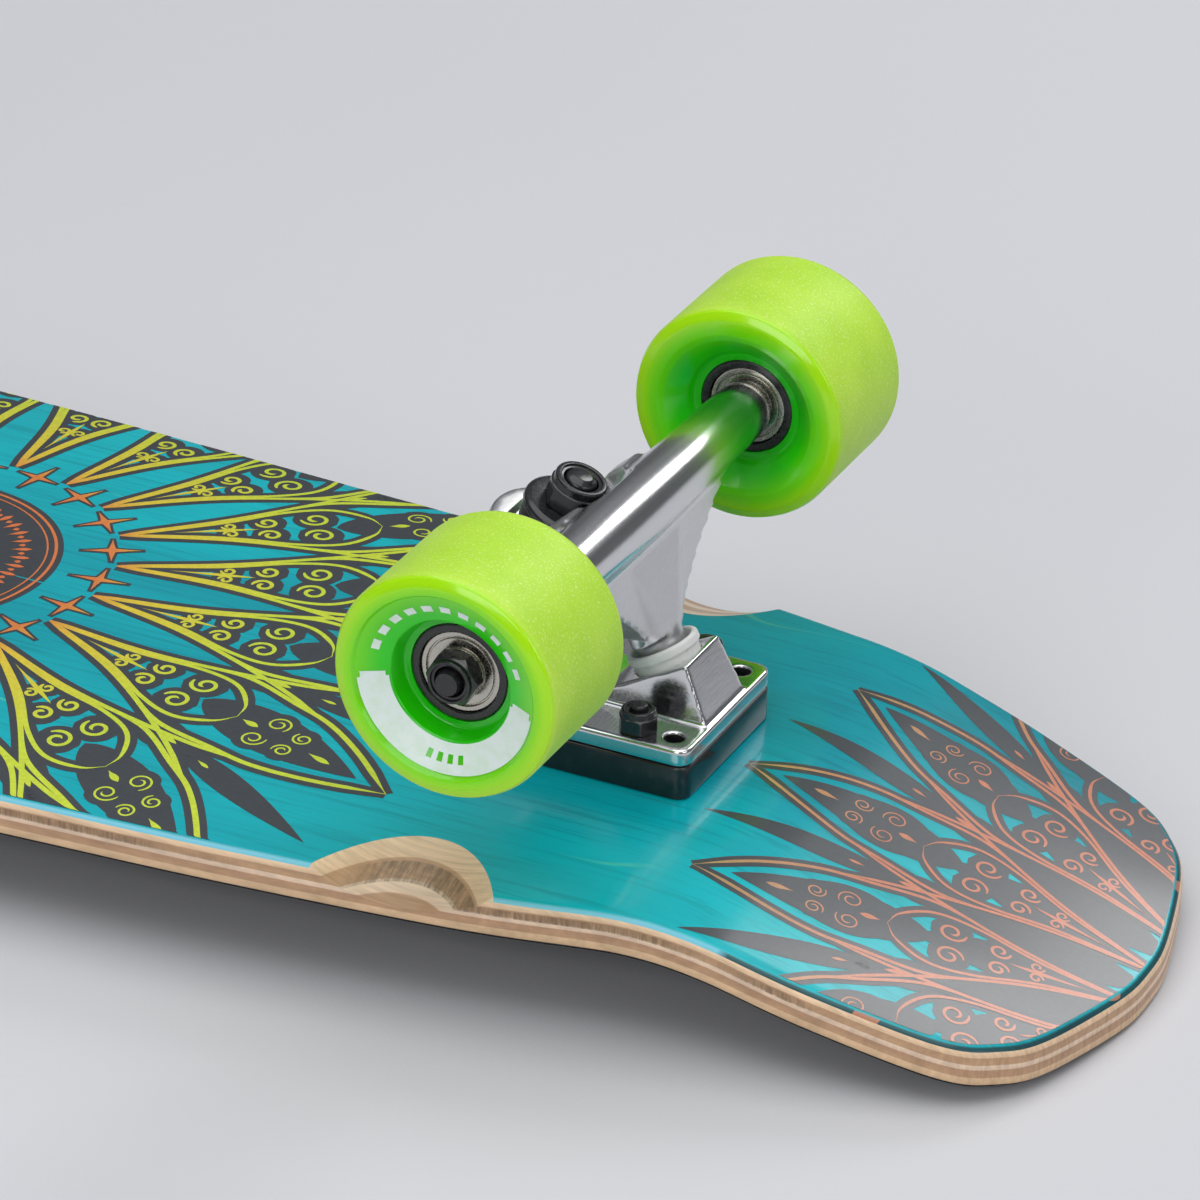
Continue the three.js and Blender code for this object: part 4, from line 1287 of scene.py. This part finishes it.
def scroll(centre, start, radius, turns, hand):
    """A spiral that winds in to its centre, as points."""
    t = np.linspace(0, 1, int(26 * turns))
    a = math.radians(start) + hand * 2 * math.pi * turns * t
    r = radius * (1 - 0.74 * t**0.9)
    return np.stack([centre[0] + r * np.cos(a), centre[1] + r * np.sin(a)], 1)


def taper(count, thick):
    """Widths that run out to a point at the far end and start half as wide."""
    t = np.linspace(0, 1, count)
    return thick * np.clip(np.minimum(0.5 + 8 * t, 8 * (1 - t)), 0.15, 1)


# %% Draw one wheel of ornament
class Ornament:
    def __init__(self, centre, count, size, slate, ink, line, border_width):
        self.centre, self.count, self.size = np.array(centre, float), count, size
        self.slate, self.ink, self.line, self.border_width = slate, ink, line, border_width

    def at(self, sector, radius, turn):
        a = (sector + 0.5 * turn) * 2 * math.pi / self.count
        return self.centre + radius * self.size * np.array([math.cos(a), math.sin(a)])

    def stroke(self, line, thick=None):
        thick = thick or self.line
        widths = taper(len(line), thick)
        self.ink.strip(line, widths)
        self.slate.strip(line, widths + self.border_width)

    def curve(self, sector, corners, thick=None):
        for hand in (-1, 1):
            self.stroke(smooth_line([self.at(sector, r, hand * t) for r, t in corners]), thick)

    def solid_leaf(self, sector, low, high, half_width):
        """A slate leaf from one radius to another, widest at a third of its length."""
        t = np.linspace(0, 1, 34)
        widths = 2 * half_width * self.size * np.sin(math.pi * t**0.75) ** 0.9
        line = [self.at(sector, low + (high - low) * share, 0) for share in t]
        self.slate.strip(line, np.maximum(widths, 0.05), across=6)

    def disc(self, centre, radius):
        across = np.linspace(-1, 1, 13)
        line = centre + np.outer(across * radius, (1, 0))
        self.slate.strip(line, 2 * radius * np.sqrt(1.001 - across**2), across=2)

    def curl(self, sector, radius, turn, size, turns, start, weight=0.85):
        """A pair of scrolls on slate, one on each side of the sector's middle."""
        for hand in (-1, 1):
            facing = math.degrees(sector * 2 * math.pi / self.count)
            centre = self.at(sector, radius, hand * turn)
            coil = scroll(centre, facing + hand * start, size * self.size, turns, hand)
            self.ink.strip(coil, taper(len(coil), weight * self.line))
            self.disc(centre, size * self.size + 0.5 * (weight * self.line + self.border_width) - 0.2)

    def drop(self, sector, radius, turn, length, width):
        """A solid drop of ink, pointing at the centre."""
        t = np.linspace(0, 1, 9)
        line = [self.at(sector, radius + length * (share - 0.5), turn) for share in t]
        self.ink.strip(line, width * self.size * np.sin(math.pi * t**1.4) + 0.02, across=2)

    def star(self, sector, radius, turn, reach):
        """A four-pointed star on a slate ground."""
        for tilt in (0, 90):
            a = math.radians(tilt) + (sector + 0.5 * turn) * 2 * math.pi / self.count
            long = reach if tilt == 0 else 0.8 * reach
            spread = np.linspace(-1, 1, 17)
            middle = self.at(sector, radius, turn)
            line = middle + np.outer(spread * long, [math.cos(a), math.sin(a)])
            widths = 2.3 * (1 - np.abs(spread)) ** 1.3 + 0.15
            self.ink.strip(line, widths)
            self.slate.strip(middle + (line - middle) * 1.16, widths + 1.5)

    def circle(self, radius, thick, layer, across=1):
        a = np.linspace(0, 2 * math.pi, 181)
        line = self.centre + radius * self.size * np.stack([np.cos(a), np.sin(a)], 1)
        layer.strip(line, thick, across)


def leaf_sector(wheel, s):
    """One sector: a fan of crossing lines with scrolls, a leaf beyond it, and a spike to the next leaf."""
    edge = s + 0.5
    wheel.solid_leaf(edge, 116, 142, 6.5)
    wheel.solid_leaf(edge, 132, 192, 4.4)
    wheel.solid_leaf(s, 120, 178, 9.4)
    wheel.curve(s, [(59, 0), (92, 0.50), (125, 1.0), (150, 1.34)], 1.1 * wheel.line)
    wheel.curve(s, [(60, 0), (88, 0.34), (108, 0.64), (121, 0.62), (130, 0.30), (133, 0)])
    wheel.drop(s, 86, 0, 24, 1.5)
    wheel.curve(s, [(106, 0.74), (122, 0.88), (140, 0.72), (154, 0.60), (170, 0.34), (189, 0)],
                1.15 * wheel.line)
    wheel.curl(s, 90, 0.18, 2.2, 1.2, 180, 0.7)
    wheel.curl(s, 101, 0.26, 3.3, 1.25, 180)
    wheel.curl(s, 115, 0.31, 4.3, 1.3, 180)
    wheel.curl(s, 144, 0.21, 3.8, 1.5, -30, 0.45)
    wheel.curl(s, 154, 0.16, 3.0, 1.5, 150, 0.45)
    wheel.drop(s, 164, 0, 8, 2.0)
    wheel.drop(s, 138, 0, 6, 2.2)
    wheel.drop(edge, 130, 0, 7, 1.6)
    wheel.drop(edge, 146, 0, 5, 1.2)


slate_layer = InkLayer("print_slate", 0.045)
lime_layer = InkLayer("print_lime", 0.09)
copper_layer = InkLayer("print_copper", 0.09)

middle = Ornament((0, 0), 20, 1.0, slate_layer, lime_layer, 1.4, 3.9)
for s in range(middle.count):
    leaf_sector(middle, s)
    middle.star(s, 56.5, 1.0, 8.0)
middle.circle(21.6, 43, slate_layer, 20)
for radius, thick in ((41, 0.9), (38.6, 0.5), (24.5, 0.9), (21.8, 0.5)):
    middle.circle(radius, thick, lime_layer)
for s in range(2 * middle.count):
    middle.drop(s / 2, 31.5, 0, 6, 1.7)
    middle.drop(s / 2 + 0.25, 31.5, 0, 2.2, 1.6)
for s in range(10):
    middle.star(2 * s, 10, 0, 5.5)

# %% Half wheels at the tips
TIP_X = HALF_LENGTH + 55
for side, hand in (("tail", 1), ("nose", -1)):
    tip = Ornament((hand * TIP_X, 0), 20, 0.9, slate_layer, copper_layer, 1.0, 3.2)
    for s in range(tip.count):
        if hand * math.cos(s * 2 * math.pi / tip.count) < 0.2:
            leaf_sector(tip, s)
            tip.solid_leaf(s, 64, 128, 9.0)
            tip.solid_leaf(s, 128, 168, 11.0)
            tip.solid_leaf(s + 0.5, 60, 132, 8.5)

# %% [markdown]
# The lime ink turns orange towards the middle of the wheel, as if two inks were rolled out side by side on the
# screen. Distance from the middle drives that blend. At the tips the ink is copper, yellower at the leaf ends.

# %% Ink finishes
def printed_ink(name, stops, centres, reach):
    """Ink whose colour follows the distance from the nearest centre."""
    recipe = Recipe(name)
    distance = None
    for x in centres:
        offset = recipe.add("ShaderNodeVectorMath", {0: recipe.place, 1: (x * MM, 0, DECK_TOP * MM)},
                            operation="SUBTRACT")
        length = recipe.add("ShaderNodeVectorMath", {0: offset}, output="Value", operation="LENGTH")
        distance = length if distance is None else recipe.math("MINIMUM", distance, length)
    color = recipe.ramp(recipe.levels(distance, reach[0] * MM, reach[1] * MM), stops)
    speck = recipe.levels(recipe.noise(recipe.scaled(1, 1, 1), 700, 3.0, 0.7), 0.3, 0.7, 0.86, 1.08)
    color = recipe.mix(1.0, color, recipe.grey(speck), "MULTIPLY")
    return recipe.finish(base_color=color, roughness=0.3, coat_weight=0.5, coat_roughness=0.12)


SLATE_STOPS = [(0, (0.040, 0.047, 0.055)), (1, (0.046, 0.054, 0.062))]
LIME_STOPS = [
    (0, (0.72, 0.18, 0.05)), (0.33, (0.76, 0.23, 0.05)), (0.5, (0.78, 0.58, 0.04)), (1, (0.62, 0.74, 0.04)),
]
COPPER_STOPS = [(0, (0.60, 0.17, 0.075)), (0.6, (0.58, 0.19, 0.09)), (1, (0.46, 0.32, 0.13))]
INKS = (
    (slate_layer, printed_ink("slate_ink", SLATE_STOPS, (0,), (0, 200))),
    (lime_layer, printed_ink("lime_ink", LIME_STOPS, (0,), (30, 110))),
    (copper_layer, printed_ink("copper_ink", COPPER_STOPS, (TIP_X, -TIP_X), (60, 170))),
)
for layer, ink_finish in INKS:
    film = paint(layer.lay(), ink_finish, "board")
    print(film.name, len(film.data.polygons), "faces")
# %% [markdown]
# ## Camera
#
# The board is seen from a little left of its tail's side and from above, with a long lens, so its lines stay
# almost parallel. The camera looks at a point near the visible truck.

# %% Camera
VIEW_TURN, VIEW_RISE, VIEW_ROLL = (math.radians(a) for a in (24.98, 27.82, 1.64))
VIEW_DISTANCE = 1615
VIEW_LENS = 185.1
look_at = Vector((AXLE_X - 7.88, 0, AXLE_Z - 27.14))
camera = bpy.data.objects.new("camera", bpy.data.cameras.new("camera"))
bpy.context.scene.collection.objects.link(camera)
turn = Matrix.Rotation(VIEW_TURN, 4, "Z") @ Matrix.Rotation(math.pi / 2 - VIEW_RISE, 4, "X")
turn = turn @ Matrix.Rotation(VIEW_ROLL, 4, "Z")
back = turn @ Vector((0, 0, VIEW_DISTANCE))
camera.matrix_world = Matrix.Translation((look_at + back) * MM) @ turn
camera.data.lens = VIEW_LENS
camera.data.sensor_width = 36
camera.data.clip_start = 0.05
camera.data.clip_end = 30
bpy.context.scene.camera = camera
print("camera at", [round(c, 3) for c in camera.location])

# %% [markdown]
# ## Floor and light
#
# A product like this is shot on a seamless sheet of pale paper, under one very large soft light from above,
# a narrow one behind and white boards for fill. Polished metal shows mostly what is round it, so the panels
# matter as much as the brightness: each one becomes a streak on a hanger or a spot on a wheel's lip.

# %% Seamless floor
floor_points = [(-9, -9, 0), (9, -9, 0), (9, 9, 0), (-9, 9, 0)]
floor = new_piece("floor", floor_points, [(0, 1, 2, 3)], Matrix.Identity(4))
paper = Recipe("pale_paper")
tone = paper.levels(paper.noise(paper.scaled(1.2, 1.2, 1.2), 1.0, 2.0), 0.3, 0.7, 0.97, 1.03)
color = paper.mix(1.0, (0.665, 0.668, 0.695), paper.grey(tone),
                  "MULTIPLY")
paper.bump(paper.noise(paper.scaled(1, 1, 1), 900, 2.0), 0.0001, 0.5)
floor.data.materials.append(paper.finish(base_color=color, roughness=0.75))


# %% Light panels
def panel(name, place, aim, size, power):
    light = bpy.data.lights.new(name, "AREA")
    light.shape = "RECTANGLE"
    light.size, light.size_y = size
    light.energy = power
    lamp = bpy.data.objects.new(name, light)
    bpy.context.scene.collection.objects.link(lamp)
    direction = Vector(aim) - Vector(place)
    lamp.matrix_world = Matrix.Translation(place) @ direction.to_track_quat("-Z", "Y").to_matrix().to_4x4()
    return lamp


panel("overhead", (0.2, -0.3, 2.4), (0.1, 0, 0), (3.0, 2.6), 35)
panel("back_softbox", (0.68, 1.8, 1.42), (0.1, 0, 0), (0.55, 1.0), 10)
panel("front_fill", (0.3, -2.4, 1.2), (0.1, 0, 0), (1.8, 1.0), 17)
panel("right_fill", (2.3, -0.7, 1.1), (0.2, 0, 0), (1.2, 1.0), 6)
world = bpy.data.worlds.new("white_room")
bpy.context.scene.world = world
world.use_nodes = True
nodes, links = world.node_tree.nodes, world.node_tree.links
direction = nodes.new("ShaderNodeTexCoord").outputs["Generated"]
height = nodes.new("ShaderNodeSeparateXYZ")
links.new(direction, height.inputs[0])
strength = nodes.new("ShaderNodeMapRange")
for key, value in (("From Min", 0.35), ("From Max", 0.9), ("To Min", 0.14), ("To Max", 0.5)):
    strength.inputs[key].default_value = value
links.new(height.outputs["Z"], strength.inputs["Value"])
links.new(strength.outputs[0], nodes["Background"].inputs["Strength"])
nodes["Background"].inputs["Color"].default_value = (0.93, 0.95, 1, 1)
bpy.context.scene.view_settings.view_transform = "Standard"
